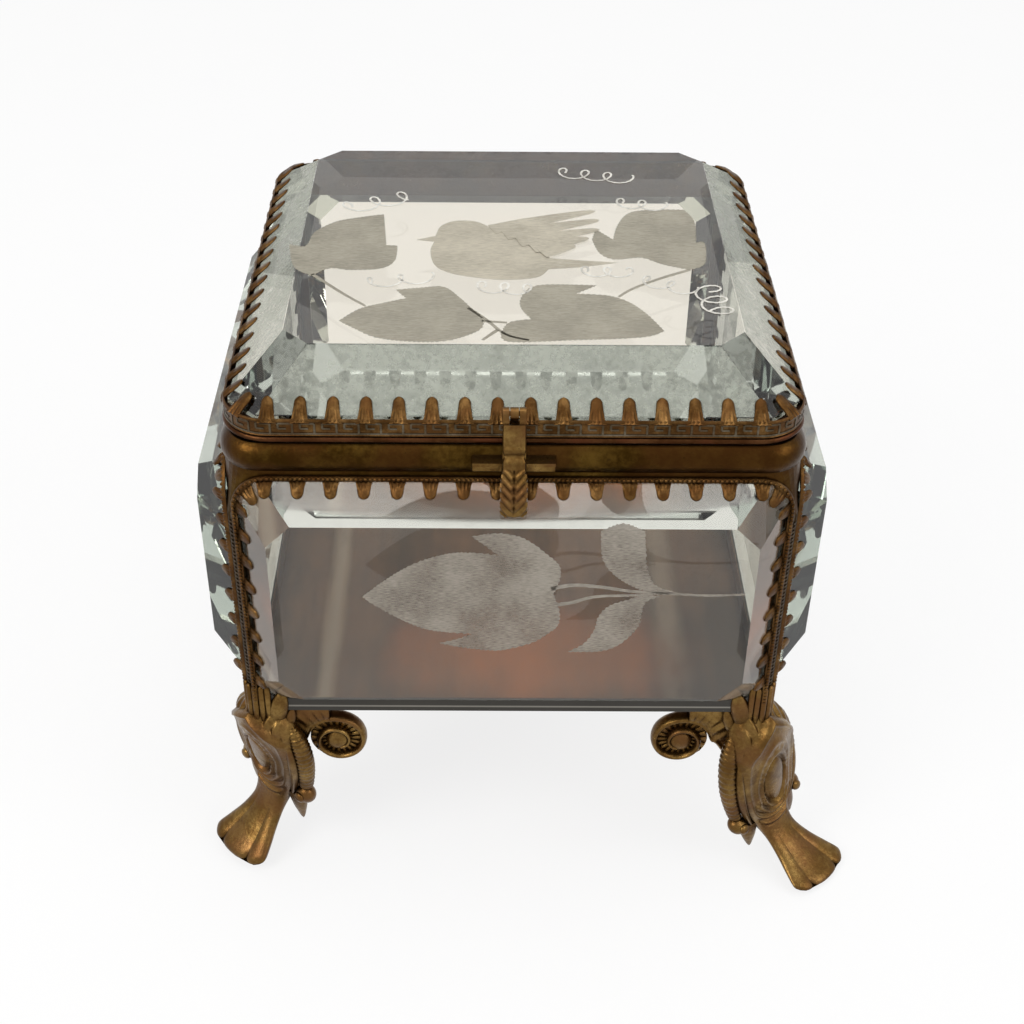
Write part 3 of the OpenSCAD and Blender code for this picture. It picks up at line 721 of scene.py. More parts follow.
lidShape = {
    "halfX": 58.5, "halfY": 59.5, "round": 9.5, "bandLow": 124.5, "bandHigh": 128.3, "glassEdge": 128.5,
    "rise": 9.3, "inset": 0.9, "bevel": (10.6, 12.4), "clip": 6.4, "flatClip": 5.4, "pitch": 6.4,
    "prong": 5.2, "sink": 0.6,
}
lid = Values(**lidShape)

keyShape = {"unit": 4.4, "low": 125.15, "high": 127.55, "line": 0.42, "lift": 0.13}
key = Values(**keyShape)


def addBand(form, loop, profile, step=0.9):
    # a profile of (outward, z) carried round the loop
    count = ceil(loop.length / step)
    rings = []
    for k in range(count):
        point, out = loop.at(loop.length * k / count)
        rings.append([point + out * push + up(z) for push, z in profile])
    form.loft(rings, wrap=True)


def makeLidBand():
    loop = Loop(lid.halfX, lid.halfY, lid.round)
    low, high = lid.bandLow, lid.bandHigh
    form = Form()
    addBand(form, loop, [
        (0.02, low), (0.3, low), (0.42, low + 0.1), (0.5, low + 0.24), (0.42, low + 0.4), (0.3, low + 0.46),
        (0.3, high - 0.58), (0.44, high - 0.5), (0.52, high - 0.3), (0.46, high - 0.06), (0.34, high + 0.12),
        (0.02, high + 0.16),
    ])
    halves = (lid.halfX, lid.halfY)
    spots = []
    for i in range(4):
        run, slope = halves[i % 2] - lid.round, steepness(lid.rise, lid.bevel[1 - i % 2])
        for along in row(-run, run, lid.pitch, round):
            spots.append((turn(90 * i, "Z") @ shift(along, -halves[1 - i % 2], 0), slope))
    cut = lid.round * (1 - sqrt(0.5))
    cornerRun = (sum(lid.bevel) - lid.clip + lid.flatClip) / sqrt(2)
    for sx in (-1, 1):
        for sy in (-1, 1):
            facing = 45 * sx if sy < 0 else 180 - 45 * sx
            spot = shift(sx * (lid.halfX - cut), sy * (lid.halfY - cut), 0) @ turn(facing, "Z")
            spots.append((spot, steepness(lid.rise, cornerRun)))
    for spot, lean in spots:
        a = radians(lean)
        root = lid.glassEdge - lid.inset * tan(a) + 0.1 / cos(a)
        addProng(form, spot @ shift(0, 0, root) @ turn(lean, "X"), lid.prong, 1, lid.sink)
    makePiece("lidBand", form, brass["stampedBrass"], "lid", ["lid_gallery"])


def makeKeyPattern():
    loop = Loop(lid.halfX + 0.3, lid.halfY + 0.3, lid.round + 0.3)
    units = round(loop.length / key.unit)
    unit = loop.length / units
    low, high = key.low, key.high
    middle = (low + high) / 2
    form = Form()
    for k in range(units):
        start = k * unit
        stops = [(0, low), (1, low), (1, high), (0.36, high), (0.36, middle), (0.72, middle)]
        line = [(start + share * unit, z) for share, z in stops]
        for a, b in zip(line, line[1:]):
            addLine(form, loop, a, b, key.line, key.lift)
    makePiece("keyPattern", form, brass["wornKey"], "lid")


print("lid: band, key pattern and prongs")
makeLidBand()
makeKeyPattern()

# feet: cast knee with a cartouche, scrolled arms and three toes

footShape = {
    # the leg's middle line from the collar to the toes: reach, height, half width, front and back thickness
    "leg": [
        (-5.4, 50.4, 4.4, 4.2, 3.0), (-5.0, 48.2, 6.0, 6.2, 3.2), (-4.6, 45.2, 8.0, 7.3, 3.4),
        (-4.0, 41.6, 9.3, 6.8, 3.5), (-3.4, 36.5, 9.8, 5.0, 3.4), (-3.1, 31.0, 9.8, 3.6, 3.2),
        (-3.1, 26.0, 9.2, 3.3, 3.0), (-3.2, 21.5, 8.0, 3.1, 2.8), (-3.0, 17.5, 6.6, 2.8, 2.5),
        (-2.0, 13.8, 5.3, 2.5, 2.1), (0.0, 10.6, 4.9, 2.3, 1.8), (3.2, 7.6, 5.9, 2.1, 2.0),
        (6.8, 5.0, 7.6, 1.9, 2.6), (10.0, 3.1, 9.0, 1.6, 2.9), (13.2, 1.7, 9.7, 1.2, 2.4),
    ],
    "steps": 14, "frontPoints": 76, "backPoints": 12,
    "toeFrom": 0.66, "toeNotch": 0.036, "sideNotch": 0.045, "toeSplit": 0.48, "cleft": 0.25, "inset": 1.2,
    "legEnd": 0.045, "kneeTo": 0.6,
    # the knee's relief: an oval with rings round it (place, width, height), pearls, a shield and ribs below
    "ovalAt": 30.6, "oval": (3.5, 7.0), "dome": 1.0, "pearls": 26, "pearlHigh": 0.3,
    "rings": [(1.24, 0.13, 0.6), (1.66, 0.12, 0.42), (1.02, 0.09, -0.4)],
    "pearlRing": (1.45, 0.08), "apex": 47.8, "shieldSlope": 0.55, "shieldCurve": 0.045, "shieldEdge": 0.85,
    "shieldRidge": (-0.7, 0.85), "shieldDrop": 1.3, "collarRib": 0.36, "collarPitch": 2.2,
    "roll": 0.55, "rollInset": 1.5, "rollWidth": 0.75, "rollFade": (18, 23),
    "ribsAt": 27.0, "ribPitch": 2.4, "ribHigh": 0.42, "ribsTop": 26, "ribsLow": 14,
    "knobAt": (10.2, 18.4), "knob": 2.6, "wingAt": -4.3, "wingSize": (2.1, 2.2), "wingRibs": (0.07, 3.6),
    "wing": [(6.6, 44.4), (8.6, 42.0), (10.1, 38.0), (11.0, 32.5), (11.0, 27.0), (10.4, 21.6)],
    "rim": [(7.2, 42.6), (8.9, 38.5), (9.7, 33.0), (9.6, 27.5), (8.7, 22.0), (7.2, 17.0)],
    "tip": [(7.0, 17.8), (7.4, 14.2), (7.8, 11.0), (8.1, 7.8)],
    "reeds": 7, "reedPitch": 1.35, "reedLow": 45.5, "reedHigh": 58.0,
}
foot = Values(**footShape)

volute = {
    "centre": (-19.4, 39.2), "radius": 7.7, "eye": 2.9, "turns": 1.45, "start": -70, "band": 0.95,
    "depth": 1.75, "steps": 84, "floor": 1.7, "floorRadius": 6.4, "ribs": 20, "ribFrom": 2.2, "ribTo": 6.1,
    "armEnd": -3.0, "armTop": 50.3, "thick": 3.5, "armColumns": 36, "armRows": 26,
    # the arm's lower edge above the middle of the volute, and its drops: height, from and to a share
    "armEdge": 4.4, "armDrops": [(4.6, 0.2, 0.42), (3.0, 0.42, 0.6), (3.5, 0.6, 1)],
    "bulge": 0.9, "lip": 0.45, "vein": 0.26, "rib": 0.24, "ribCount": 34,
    # petals: middle, radii, faces round and up
    "petalAt": (-6.6, -1.1, 50.4), "petalLean": -14,
    "petals": [((0, 0, 0), (2.3, 1.5, 5.6), 20, 14), ((-3.0, 0.5, -2.6), (1.5, 1.2, 3.6), 16, 10)],
}
scroll = Values(**volute)


def kneeRelief(v, z, half):
    # what stands up from the smooth knee, by place across and height
    r = hypot(v / foot.oval[0], (z - foot.ovalAt) / foot.oval[1])
    high = foot.dome * max(1 - r * r, 0) ** 0.6
    high += sum(tall * ridge(r, place, width) for place, width, tall in foot.rings)
    if z > foot.ovalAt:
        angle = atan2(v, z - foot.ovalAt)
        high += foot.pearlHigh * ridge(r, *foot.pearlRing) * (0.5 + 0.5 * cos(foot.pearls * angle))
    # upper edge of the shield, and the ribbed collar above it
    aside = abs(v)
    above = z - (foot.apex - foot.shieldSlope * aside - foot.shieldCurve * v * v)
    high += foot.shieldEdge * ridge(above, *foot.shieldRidge) * (1 - fade(aside, half * 0.6, half * 0.95))
    collar = fade(above, 0.2, 0.9)
    high += collar * (foot.collarRib * cos(tau * v / foot.collarPitch) - foot.shieldDrop)
    # rolled edge down both sides of the shield
    rolled = foot.roll * ridge(aside, half - foot.rollInset, foot.rollWidth)
    high += rolled * (1 - collar) * fade(z, *foot.rollFade)
    # curved ribs below the oval
    under = fade(foot.ribsTop - z, 0, 3) * (1 - fade(foot.ribsLow - z, -1, 2))
    under *= 1 - fade(aside, half - 2.4, half - 1.2)
    low = hypot(v * 1.15, z - foot.ribsAt)
    return high + under * foot.ribHigh * cos(tau * low / foot.ribPitch)


def toeLobe(t):
    # 1 along the middle of each toe, 0 at the clefts and at the outer edges
    split = foot.toeSplit
    if t < split:
        return cos(pi / 2 * t / split)
    return max(sin(pi * (t - split) / (1 - split)), 0)


def makeLegRings():
    line = smoothLine(foot.leg, foot.steps)
    total = len(line) - 1

    def spotAt(place):
        place = min(max(place, 0), total)
        k = min(int(place), total - 1)
        t = place - k
        a, b = line[k], line[k + 1]
        ahead = Vector((b[0] - a[0], b[1] - a[1])).normalized()
        return [between(p, q, t) for p, q in zip(a, b)], ahead

    front, back, toeFrom = foot.frontPoints, foot.backPoints, foot.toeFrom
    angles = [pi * (share - 0.5) for share in shares(front)]
    angles += [pi * (0.5 + (k + 1) / (back + 1)) for k in range(back)]
    rings = []
    for share in shares(total):
        toes = fade(share, toeFrom, 1)
        ring = []
        for k, a in enumerate(angles):
            t = sin(a)
            lobe = toeLobe(abs(t))
            # clefts between the toes and rounded outer corners shorten the line there
            short = foot.toeNotch * (1 - lobe ** 0.5) + foot.sideNotch * fade(abs(t), 0.33, 1)
            place = total * (share - toes ** 2.2 * short)
            (u, z, half, thickFront, thickBack), ahead = spotAt(place)
            v = half * t
            normal = Vector((-ahead[1], ahead[0]))
            if k <= front:
                cleft = fade(share, toeFrom, 0.88) * foot.cleft * (1 - lobe ** 0.6)
                away = thickFront * cos(a) ** 0.62 * (1 - cleft)
                if share < toeFrom:
                    calm = cos(a) ** 0.35 * (1 - fade(share, foot.kneeTo, toeFrom))
                    away += kneeRelief(v, z, half) * calm
            else:
                away = thickBack * cos(a)
            # the toes end in a quarter round
            away *= sqrt(max(1 - (max(share - 1 + foot.legEnd, 0) / foot.legEnd) ** 2, 0.02))
            ring.append((u + normal[0] * away, v, z + normal[1] * away))
        rings.append(ring)
    return rings


def makeFoot(name, nodeName, bend, flipX, flipY):
    # made for the front right corner, then mirrored to its own
    form = Form()
    form.loft(makeLegRings())
    for side in (-1, 1):
        addWing(form, side)

    # stand the leg at the corner on its diagonal, then lean it
    (x, y), inset = caseHalf, foot.inset
    corner = shift(x, -y, 0) @ turn(-45, "Z") @ shift(-inset, 0, 0)
    leaned = []
    for point in form.points:
        spot = corner @ point
        share = min(max(spot.z / footHigh, 0), 1)
        aside, back, sag = bend[0] * (1 - share), bend[1] * (1 - share), bend[2] * sin(pi * share)
        leaned.append(Vector((spot.x + aside, spot.y + back, max(spot.z + sag, 0))))
    form.points = leaned

    addCollar(form)
    addScroll(form, shift(x, -y + inset, 0))
    exchange = Matrix(((0, -1, 0, 0), (-1, 0, 0, 0), (0, 0, 1, 0), (0, 0, 0, 1)))
    addScroll(form, shift(x - inset, -y, 0) @ exchange)
    flip = Matrix.Diagonal((-1 if flipX else 1, -1 if flipY else 1, 1, 1))
    form.points = [flip @ point for point in form.points]
    makePiece(name, form, brass["castBrass"], "case", [nodeName], 60)


def addWing(form, side):
    # a wing at one side of the knee: ribbed edge, smooth inner rim, knob and pointed tip
    across = (1, 0, 0)
    wing = smoothLine(foot.wing, 14)
    ribHigh, ribPitch = foot.wingRibs
    sizes = []
    for k, share in enumerate(shares(len(wing) - 1)):
        swell = 0.5 + 0.5 * sin(pi * (0.1 + 0.74 * share))
        swell *= 1 + ribHigh * cos(tau * k / ribPitch)
        sizes.append([size * swell for size in foot.wingSize])
    form.tube([(foot.wingAt, side * v, z) for v, z in wing], sizes, 16, across=across)
    rim = smoothLine(foot.rim, 8)
    along = shares(len(rim) - 1)
    path = [(-1.7 - 0.5 * s, side * v, z) for s, (v, z) in zip(along, rim)]
    swells = [0.25 + 0.85 * sin(pi * s) for s in along]
    form.tube(path, [(swell, swell * 1.2) for swell in swells], 14, across=across)
    v, z = foot.knobAt
    form.ball((-4.0, side * v, z), (2.3, foot.knob, foot.knob), sides=24, rows=14)
    form.ball((-1.9, side * v, z), (0.9, 1.5, 1.5), sides=18, rows=8)
    path = [(-3.7, side * v, z) for v, z in smoothLine(foot.tip, 4)]
    sizes = [(2.7 * (1 - s ** 1.6) + 0.12, 1.9 * (1 - s ** 2) + 0.12) for s in shares(len(path) - 1)]
    form.tube(path, sizes, 14, across=across)


def addCollar(form):
    # upright reeds that clasp the bottom of the corner post
    loop = Loop(*caseHalf, post.round)
    middle = loop.parts[0][0] + loop.parts[1][0] / 2
    high, low = foot.reedHigh, foot.reedLow
    stops = [(high, 0.3), (high - 0.5, 0.75), (low + 1, 0.8), (low, 0.6)]
    for k in range(foot.reeds):
        spot, out = loop.at(middle + (k - (foot.reeds - 1) / 2) * foot.reedPitch)
        path = [spot + out * 0.25 + up(z) for z, size in stops]
        form.tube(path, [(size, size) for z, size in stops], 12)


def addScroll(form, move):
    # in the plane of one edge of the case: x runs from the corner along the edge, y into the case
    cx, cz = scroll.centre
    radius, band, depth, first = scroll.radius, scroll.band, scroll.depth, scroll.start
    sweep = 360 * scroll.turns
    path, sizes = [], []
    for share in shares(scroll.steps):
        a = between(first, sweep, share)
        r = radius - band - (0.012 * a if a < 0 else (radius - scroll.eye) * a / sweep)
        angle = radians(90 + a)
        path.append((cx + r * cos(angle), depth - 0.25 * share, cz + r * sin(angle)))
        sizes.append((band * (1 - 0.45 * share), depth + 0.05))
    form.tube(path, sizes, 14, move)

    # floor of the groove and its ribs
    low, wide = scroll.floor, scroll.floorRadius
    rings = []
    for y, r in ((low + 1.4, 0.2), (low + 1.4, wide), (low, wide), (low, 0.2)):
        rings.append([(cx + r * c, y, cz + r * s) for c, s in circle(40)])
    form.loft(rings, move)
    inner, outer = scroll.ribFrom, scroll.ribTo
    for c, s in circle(scroll.ribs):
        path = [(cx + r * c, low - 0.05, cz + r * s) for r in (inner, (inner + outer) / 2, outer)]
        form.tube(path, [(0.3, 0.25), (0.48, 0.4), (0.62, 0.45)], 8, move)
    eye = scroll.eye - 0.1
    form.ball((cx, low - 0.6, cz), (eye, 1.5, eye), move, 24, 12)

    # arm: a leafy plate from the volute to the knee
    rings = []
    top, armStart = scroll.armTop, cx + 1.5
    for s in shares(scroll.armColumns):
        x = between(armStart, scroll.armEnd, s)
        edge = cz + scroll.armEdge
        for drop, start, end in scroll.armDrops:
            edge -= drop * fade(s, start, end)
        if s < 0.42:
            edge = max(edge, cz + sqrt(max((radius - 1.0) ** 2 - (x - cx) ** 2, 0)))
        ring = []
        for t in shares(scroll.armRows):
            z = between(top, edge, t)
            veins = scroll.vein * cos(tau * (z * 0.3 - x * 0.26)) * fade(s, 0.3, 0.45)
            ribs = scroll.rib * cos(scroll.ribCount * atan2(z - cz, x - cx)) * (1 - fade(s, 0.25, 0.42))
            bulge = scroll.bulge * sin(pi * t) ** 0.6 + (veins + ribs) * sin(pi * t)
            ring.append((x, 0.55 - bulge - scroll.lip * ridge(t, 0.93, 0.07), z))
        ring += [(x, scroll.thick, edge), (x, scroll.thick, top)]
        rings.append(ring)
    form.loft(rings, move)

    # domed petals where the arm meets the collar
    lean = move @ shift(*scroll.petalAt) @ turn(scroll.petalLean, "Y")
    for centre, radii, around, rows in scroll.petals:
        form.ball(centre, radii, lean, around, rows)


print("feet: knees, wings, volutes and toes")
# how far the toes of a foot stand aside of its corner, and how far its knee has sagged
rightBend, leftBend = (10.5, 2.1, -3.2), (0, 9.0, 3.0)
makeFoot("footFrontRight", "foot_front_right", rightBend, False, False)
makeFoot("footFrontLeft", "foot_front_left", leftBend, True, False)
makeFoot("footBackLeft", "foot_back_left", rightBend, True, True)
makeFoot("footBackRight", "foot_back_right", leftBend, False, True)

# hasp: a stamped face over the strap

haspShape = {
    "top": 131.2, "start": -62.25, "out": 5.137, "curl": 0.6, "length": 20.8, "thick": 0.9, "half": 2.34,
    "footHalf": 2.74, "first": 0.075, "last": 0.996, "waist": 0.36, "leafFrom": 0.47, "vein": 2.1,
    "rows": 120, "columns": 20, "crown": (0.26, 0.34),
    "waistDeep": 0.42, "waistRidge": 0.22, "ridges": (-0.06, 0.06),
    "veinHigh": 0.26, "veinSlant": 1.2, "groove": 0.3, "border": 0.16,
}
hasp = Values(**haspShape)


def haspMiddle(t):
    # the strap's middle line: depth and height at a share of its length
    curl = hasp.curl * (max(0, t - 0.8) / 0.2) ** 2
    return Vector((hasp.start - hasp.out * sin(pi / 2 * t) + curl, hasp.top - t * hasp.length))


def haspRelief(t, v, x):
    # what stands up from the strap: a waist between two ridges, then a leaf with veins
    waist, leafFrom = hasp.waist, hasp.leafFrom
    high = hasp.crown[0] + hasp.crown[1] * sqrt(max(1 - v * v, 0))
    high -= hasp.waistDeep * ridge(t, waist, 0.024)
    high += hasp.waistRidge * sum(ridge(t, waist + away, 0.022) for away in hasp.ridges)
    leaf = fade(t, leafFrom, leafFrom + 0.03) * (1 - fade(t, 0.95, 0.975))
    veins = hasp.veinHigh * cos(tau * (t * hasp.length + abs(x) * hasp.veinSlant) / hasp.vein)
    high += leaf * (veins * fade(abs(v), 0.05, 0.2) - hasp.groove * ridge(v, 0, 0.09))
    high += hasp.border * ridge(abs(v), 0.88, 0.07)
    return max(high, 0.03) * (1 - 0.8 * fade(t, 0.975, hasp.last))


def makeHaspFace():
    form = Form()
    rings = []
    for share in shares(hasp.rows):
        t = between(hasp.first, hasp.last, share)
        here = haspMiddle(t)
        ahead = (haspMiddle(t + 0.002) - haspMiddle(t - 0.002)).normalized()
        normal = Vector((ahead[1], -ahead[0]))
        half = between(hasp.half, hasp.footHalf, fade(t, 0.48, 0.62))
        half -= 1.0 * max(0, t - 0.933) / 0.067 + 0.35 * ridge(t, hasp.waist, 0.035)
        across = [2 * share - 1 for share in shares(hasp.columns)]
        spots = [(v * half, haspRelief(t, v, v * half)) for v in across] + [(half, -0.25), (-half, -0.25)]
        rings.append([(x, *(here + normal * (hasp.thick / 2 + high))) for x, high in spots])
    form.loft(rings)
    makePiece("haspFace", form, brass["castBrass"], "hasp", sharp=50)


print("hasp: stamped face")
makeHaspFace()

# engraving on the outer faces of the front glass and the lid's glass

# an outline is a list of runs that meet at its corners, in millimetres across and up the pane;
# each run goes on from the end of the one before, and the first from the end of the last
frontLeaves = [
    [
        [(-26.8, 94.3), (-22.2, 97.9), (-17.8, 100.3), (-12.3, 102), (-6.9, 102), (-2.8, 101.4)],
        [(-5.6, 103.9), (-8.4, 106.3)],
        [(-3.7, 107.1), (0.6, 106.5), (3.9, 104.6), (7.2, 101.5), (9.5, 98.8), (9.7, 95.2), (8.5, 91.3)],
        [(9.9, 86.5), (9.7, 82.8), (7.8, 80.6), (4.5, 77.9), (-0.1, 76.2), (-3.5, 75.6), (-9.7, 76.3),
         (-15.3, 77.6)], [(-11.4, 78.8), (-8.3, 80.3)],
        [(-12.6, 80.6), (-18.2, 81.6), (-23.7, 84.5), (-28.7, 88.1), (-31.1, 90.3)],
    ],
    [
        [(29.5, 93.9), (27.6, 98.2), (27, 103), (26.5, 107.8)], [(22, 109.8), (17.6, 107.8)],
        [(18.2, 100.9), (20.6, 96.7), (25.2, 93.2), (30.8, 91.4), (34.1, 91.9)],
    ],
    [
        [(27.6, 89), (26.9, 83.7), (25.6, 80.7), (22.7, 77.3), (18.8, 75.5), (11.9, 75.3)],
        [(15.3, 77.6), (17.4, 81.4), (18.1, 85.1), (20.2, 88.1), (23.7, 89.7), (27, 90.8), (30.9, 90.9)],
    ],
]
frontStems = [
    [(8, 92.7), (12.4, 93.7), (18, 93.3), (23, 92.4), (28, 91.8), (34, 91.5), (40.3, 91.1), (48.3, 91.4)],
    [(9.3, 88.4), (12.6, 89.1), (17, 90.6), (23.6, 91), (29.2, 91.2)],
]
lidBird = [  # body, beak and tail
    [(-17.2, 0.7)], [(-16.1, 5.5), (-12.8, 8.2), (-8, 7.8), (-4.2, 4.1)], [(2, -1), (8.4, -9.6)],
    [(14, -10.4), (23, -11.4)], [(15.6, -13.4), (7.8, -14.6)],
    [(5.1, -18.3), (-2, -19.5), (-8.4, -18.4), (-13.6, -16.5), (-16.9, -13.1), (-18.1, -6.9), (-17.4, -2)],
    [(-21.3, -1.2)],
]
lidLeaves = [
    [
        [(-31.9, -32.2), (-27.1, -29.7), (-22.5, -27.7)], [(-24.8, -24.1)],
        [(-19.8, -23.2), (-14.7, -22.8), (-10.8, -28.2), (-8.6, -32.2), (-6.4, -36), (-7, -40.5),
         (-11.8, -44.2), (-16.6, -45.4), (-22.6, -45.1), (-28.1, -43.7), (-31.9, -40.8), (-35.9, -37.2)],
    ],
    [
        [(-0.8, -37.5), (3.6, -36.2)], [(1.7, -31.9), (1.5, -28.1), (3.1, -23.6), (7, -21.5), (17.8, -21.7)],
        [(13.2, -25.4)], [(20.1, -26.2), (24.4, -29.1), (27.7, -34.1), (30.6, -40.7)],
        [(25.8, -43.2), (11.2, -44.5), (-0.9, -45.2), (-2.7, -41.7)],
    ],
    [
        [(-45.8, -4.4), (-44.4, 2.2), (-40.1, 7.4), (-34.8, 9.7), (-29.4, 11.3)], [(-28, -3.9)],
        [(-25.5, -4.1)], [(-25.8, -11.1), (-28.6, -14.6), (-35, -15.4), (-39.6, -14.7), (-43.2, -18.1)],
        [(-47.4, -14.1), (-49.5, -3.7)],
    ],
    [
        [(18.9, 4.4)], [(22.6, -0.6)], [(24.1, 6.7), (27.2, 12.8), (32.9, 14.4), (39.9, 14.5)],
        [(41.7, 8.4), (41, -1.9)], [(42.9, -2.1), (41.9, -11.7), (38.4, -14.5)],
        [(32.7, -12.1), (28.4, -9.1), (22.4, -9.9), (19.3, -7.1), (17.9, -0.7)],
    ],
]
lidStems = [
    [(-3.3, -40.5), (-6.4, -44.6)], [(-9.4, -31.6), (-5.6, -36.6), (-1.6, -42.4), (3, -44.6)],
    [(-6.6, -37), (-1.4, -37.6)], [(38.4, -14.5), (31.5, -18.6), (25.5, -23), (22.2, -26.6)],
    [(-43.2, -17.4), (-39.6, -21.6), (-35.4, -26.4), (-30.9, -31)],
]
# each feather of the wing: root and tip
lidFeathers = [
    ((-4.5, 3.6), (19.3, 13.5)), ((-1.5, 0.6), (20, 8.8)), ((1.5, -2.6), (19.8, 4)),
    ((4.5, -5.6), (17.2, -0.3)), ((6.6, -8), (14, -4)),
]
# tendrils: start, end, radius of the curl and number of turns
lidTendrils = [
    ((-39, 14), (-23, 21), 3, 2.6), ((11, 34.3), (28, 30.6), 2.6, 3.2), ((24, 18), (35, 16), 2.4, 2.2),
    ((-32, -21.5), (-17.6, -18.6), 2.3, 2.2), ((-8, -22.6), (4.6, -24), 2.4, 2.6),
    ((14.4, -15.6), (26, -16), 2.2, 2.4),
    ((41, -22), (43, -34), 3, 2.6), ((27, -19), (38, -24), 2.2, 2.2),
]

engraveShape = {"tooth": 0.3, "toothPitch": 1.05, "thick": 0.04, "gap": 0.02, "tendril": 0.5}
engraving = Values(**engraveShape)

bevelFilm = {
    # half length and distance from the middle, for the front and back bevels and for the side ones
    "foot": [(51.2, 58.6), (52.2, 57.6)], "top": [(41.6, 46.2), (40.8, 47.0)], "low": 128.5, "edge": 0.25,
}
film = Values(**bevelFilm)

# shared by all the ground glass
ground = {
    "scratch": 0.0014, "cloud": 0.009, "scratchShare": 0.6, "wear": (0.34, 0.64), "coverSpread": 0.26,
    "rough": 0.85, "grain": 0.00006, "bump": 0.6,
}

frostLooks = {
    "frontFrost": {"pale": (0.35, 0.32, 0.27), "dull": (0.2, 0.17, 0.14), "cover": 0.56, "hatch": (1, 1, 9)},
    "lidLeavesFrost": {
        "pale": (0.35, 0.325, 0.26), "dull": (0.25, 0.23, 0.18), "cover": 0.68, "hatch": (1, 9, 1),
    },
    "lidBirdFrost": {
        "pale": (0.5, 0.46, 0.37), "dull": (0.36, 0.33, 0.26), "cover": 0.64, "hatch": (1, 9, 1),
    },
    # the bevel film: haze of the old glass, with painted pale-mint light over the bevels
    "bevelHazeAndPaintedLight": {"pale": (0.42, 0.44, 0.38), "dull": (0.36, 0.38, 0.33), "cover": 0.26, "hatch": (1, 1, 1)},
    "lidTendrilsFrost": {
        "pale": (0.74, 0.72, 0.66), "dull": (0.55, 0.53, 0.48), "cover": 0.7, "hatch": (1, 1, 1),
    },
}


def makeFrost(name):
    paint, look = Paint(name), Values(**ground, **frostLooks[name])
    hatch = paint.noise(look.scratch, 3, 0.6, look.hatch)
    cloud = paint.noise(look.cloud, 3, 0.5)
    mixed = paint.step(hatch * look.scratchShare + cloud * (1 - look.scratchShare), *look.wear)
    paint.surface({
        "Base Color": paint.mix(mixed, look.dull, look.pale), "Roughness": look.rough,
        "Alpha": mixed * look.coverSpread + look.cover,
        "Normal": paint.bump(hatch, look.grain, look.bump),
    })
    return paint.owner


def drawn(run, steps):
    return smoothLine(run, steps) if len(run) > 2 else run


def serrated(runs, tooth=engraving.tooth):
    # the closed outline: every run smoothed, then cut into small teeth that lean along it
    outline = []
    start = runs[-1][-1]
    for run in runs:
        line = evenly(drawn([start] + run, 10), engraving.toothPitch / 3)
        start = run[-1]
        last = len(line) - 1
        for k, (point, ahead) in enumerate(zip(line[:-1], headings(line))):
            push = tooth * ((k % 3) / 2 - 0.4) * min(k / 3, (last - k) / 3, 1)
            outline.append(point + Vector((ahead[1], -ahead[0])) * -push)
    return outline


def addSheet(form, outline, place):
    # a thin flat plate with this outline; place takes (across, up, depth) to the pane
    flat = [Vector(point) for point in outline]
    points, _, fans = delaunay_2d_cdt(flat, [], [list(range(len(flat)))], 1, 1e-5)[:3]
    count = len(points)
    edges = {(a, b) for fan in fans for a, b in zip(fan, list(fan[1:]) + [fan[0]])}
    faces = [tuple(fan) for fan in fans] + [tuple(count + k for k in reversed(fan)) for fan in fans]
    faces += [(b, a, count + a, count + b) for a, b in sorted(edges) if (b, a) not in edges]
    form.add([place(x, y, depth) for depth in (0, engraving.thick) for x, y in points], faces)


def ribbon(line, wide, slim):
    # outline of a thin stem that narrows from wide to slim
    line = [Vector(point) for point in line]
    left, right = [], []
    for k, (point, ahead) in enumerate(zip(line, headings(line))):
        side = Vector((-ahead[1], ahead[0])) * between(wide, slim, k / (len(line) - 1)) / 2
        left.append(point + side)
        right.append(point - side)
    return left + right[::-1]


def curl(start, end, radius, turns):
    a, b = Vector(start), Vector(end)
    run = (b - a).normalized()
    side = Vector((-run[1], run[0]))
    return [
        a + (b - a) * s + run * radius * cos(tau * turns * s) * 0.8 + side * radius * sin(tau * turns * s)
        for s in shares(round(26 * turns))
    ]


def feather(root, tip):
    # one long feather with a rounded tip
    a, b = Vector(root), Vector(tip)
    run = b - a
    side = Vector((-run[1], run[0])).normalized()
    stops = [(0, 2.6), (0.3, 2.7), (0.6, 2.2), (0.85, 1.5), (0.96, 0.9), (1, 0.1)]  # share, half width
    left = [a + run * s + side * w for s, w in stops]
    right = [a + run * s - side * w * 0.7 for s, w in stops]
    return smoothLine(left, 4) + smoothLine(right[::-1], 4)


def makeEngraving(name, form, frost, body):
    makePiece(name, form, makeFrost(frost), body, sharp=30)


def onFrontPane(x, z, depth):
    return (x, frontFace - engraving.gap - depth, z)


def onLidPane(lift=0):
    return lambda x, y, depth: (x, y, lidFace + engraving.gap + lift + depth)


def makeFrontEngraving():
    form = Form()
    for runs in frontLeaves:
        addSheet(form, serrated(runs), onFrontPane)
    for line in frontStems:
        addSheet(form, ribbon(smoothLine(line, 8), 1.0, 0.5), onFrontPane)
    makeEngraving("frontEngraving", form, "frontFrost", "case")


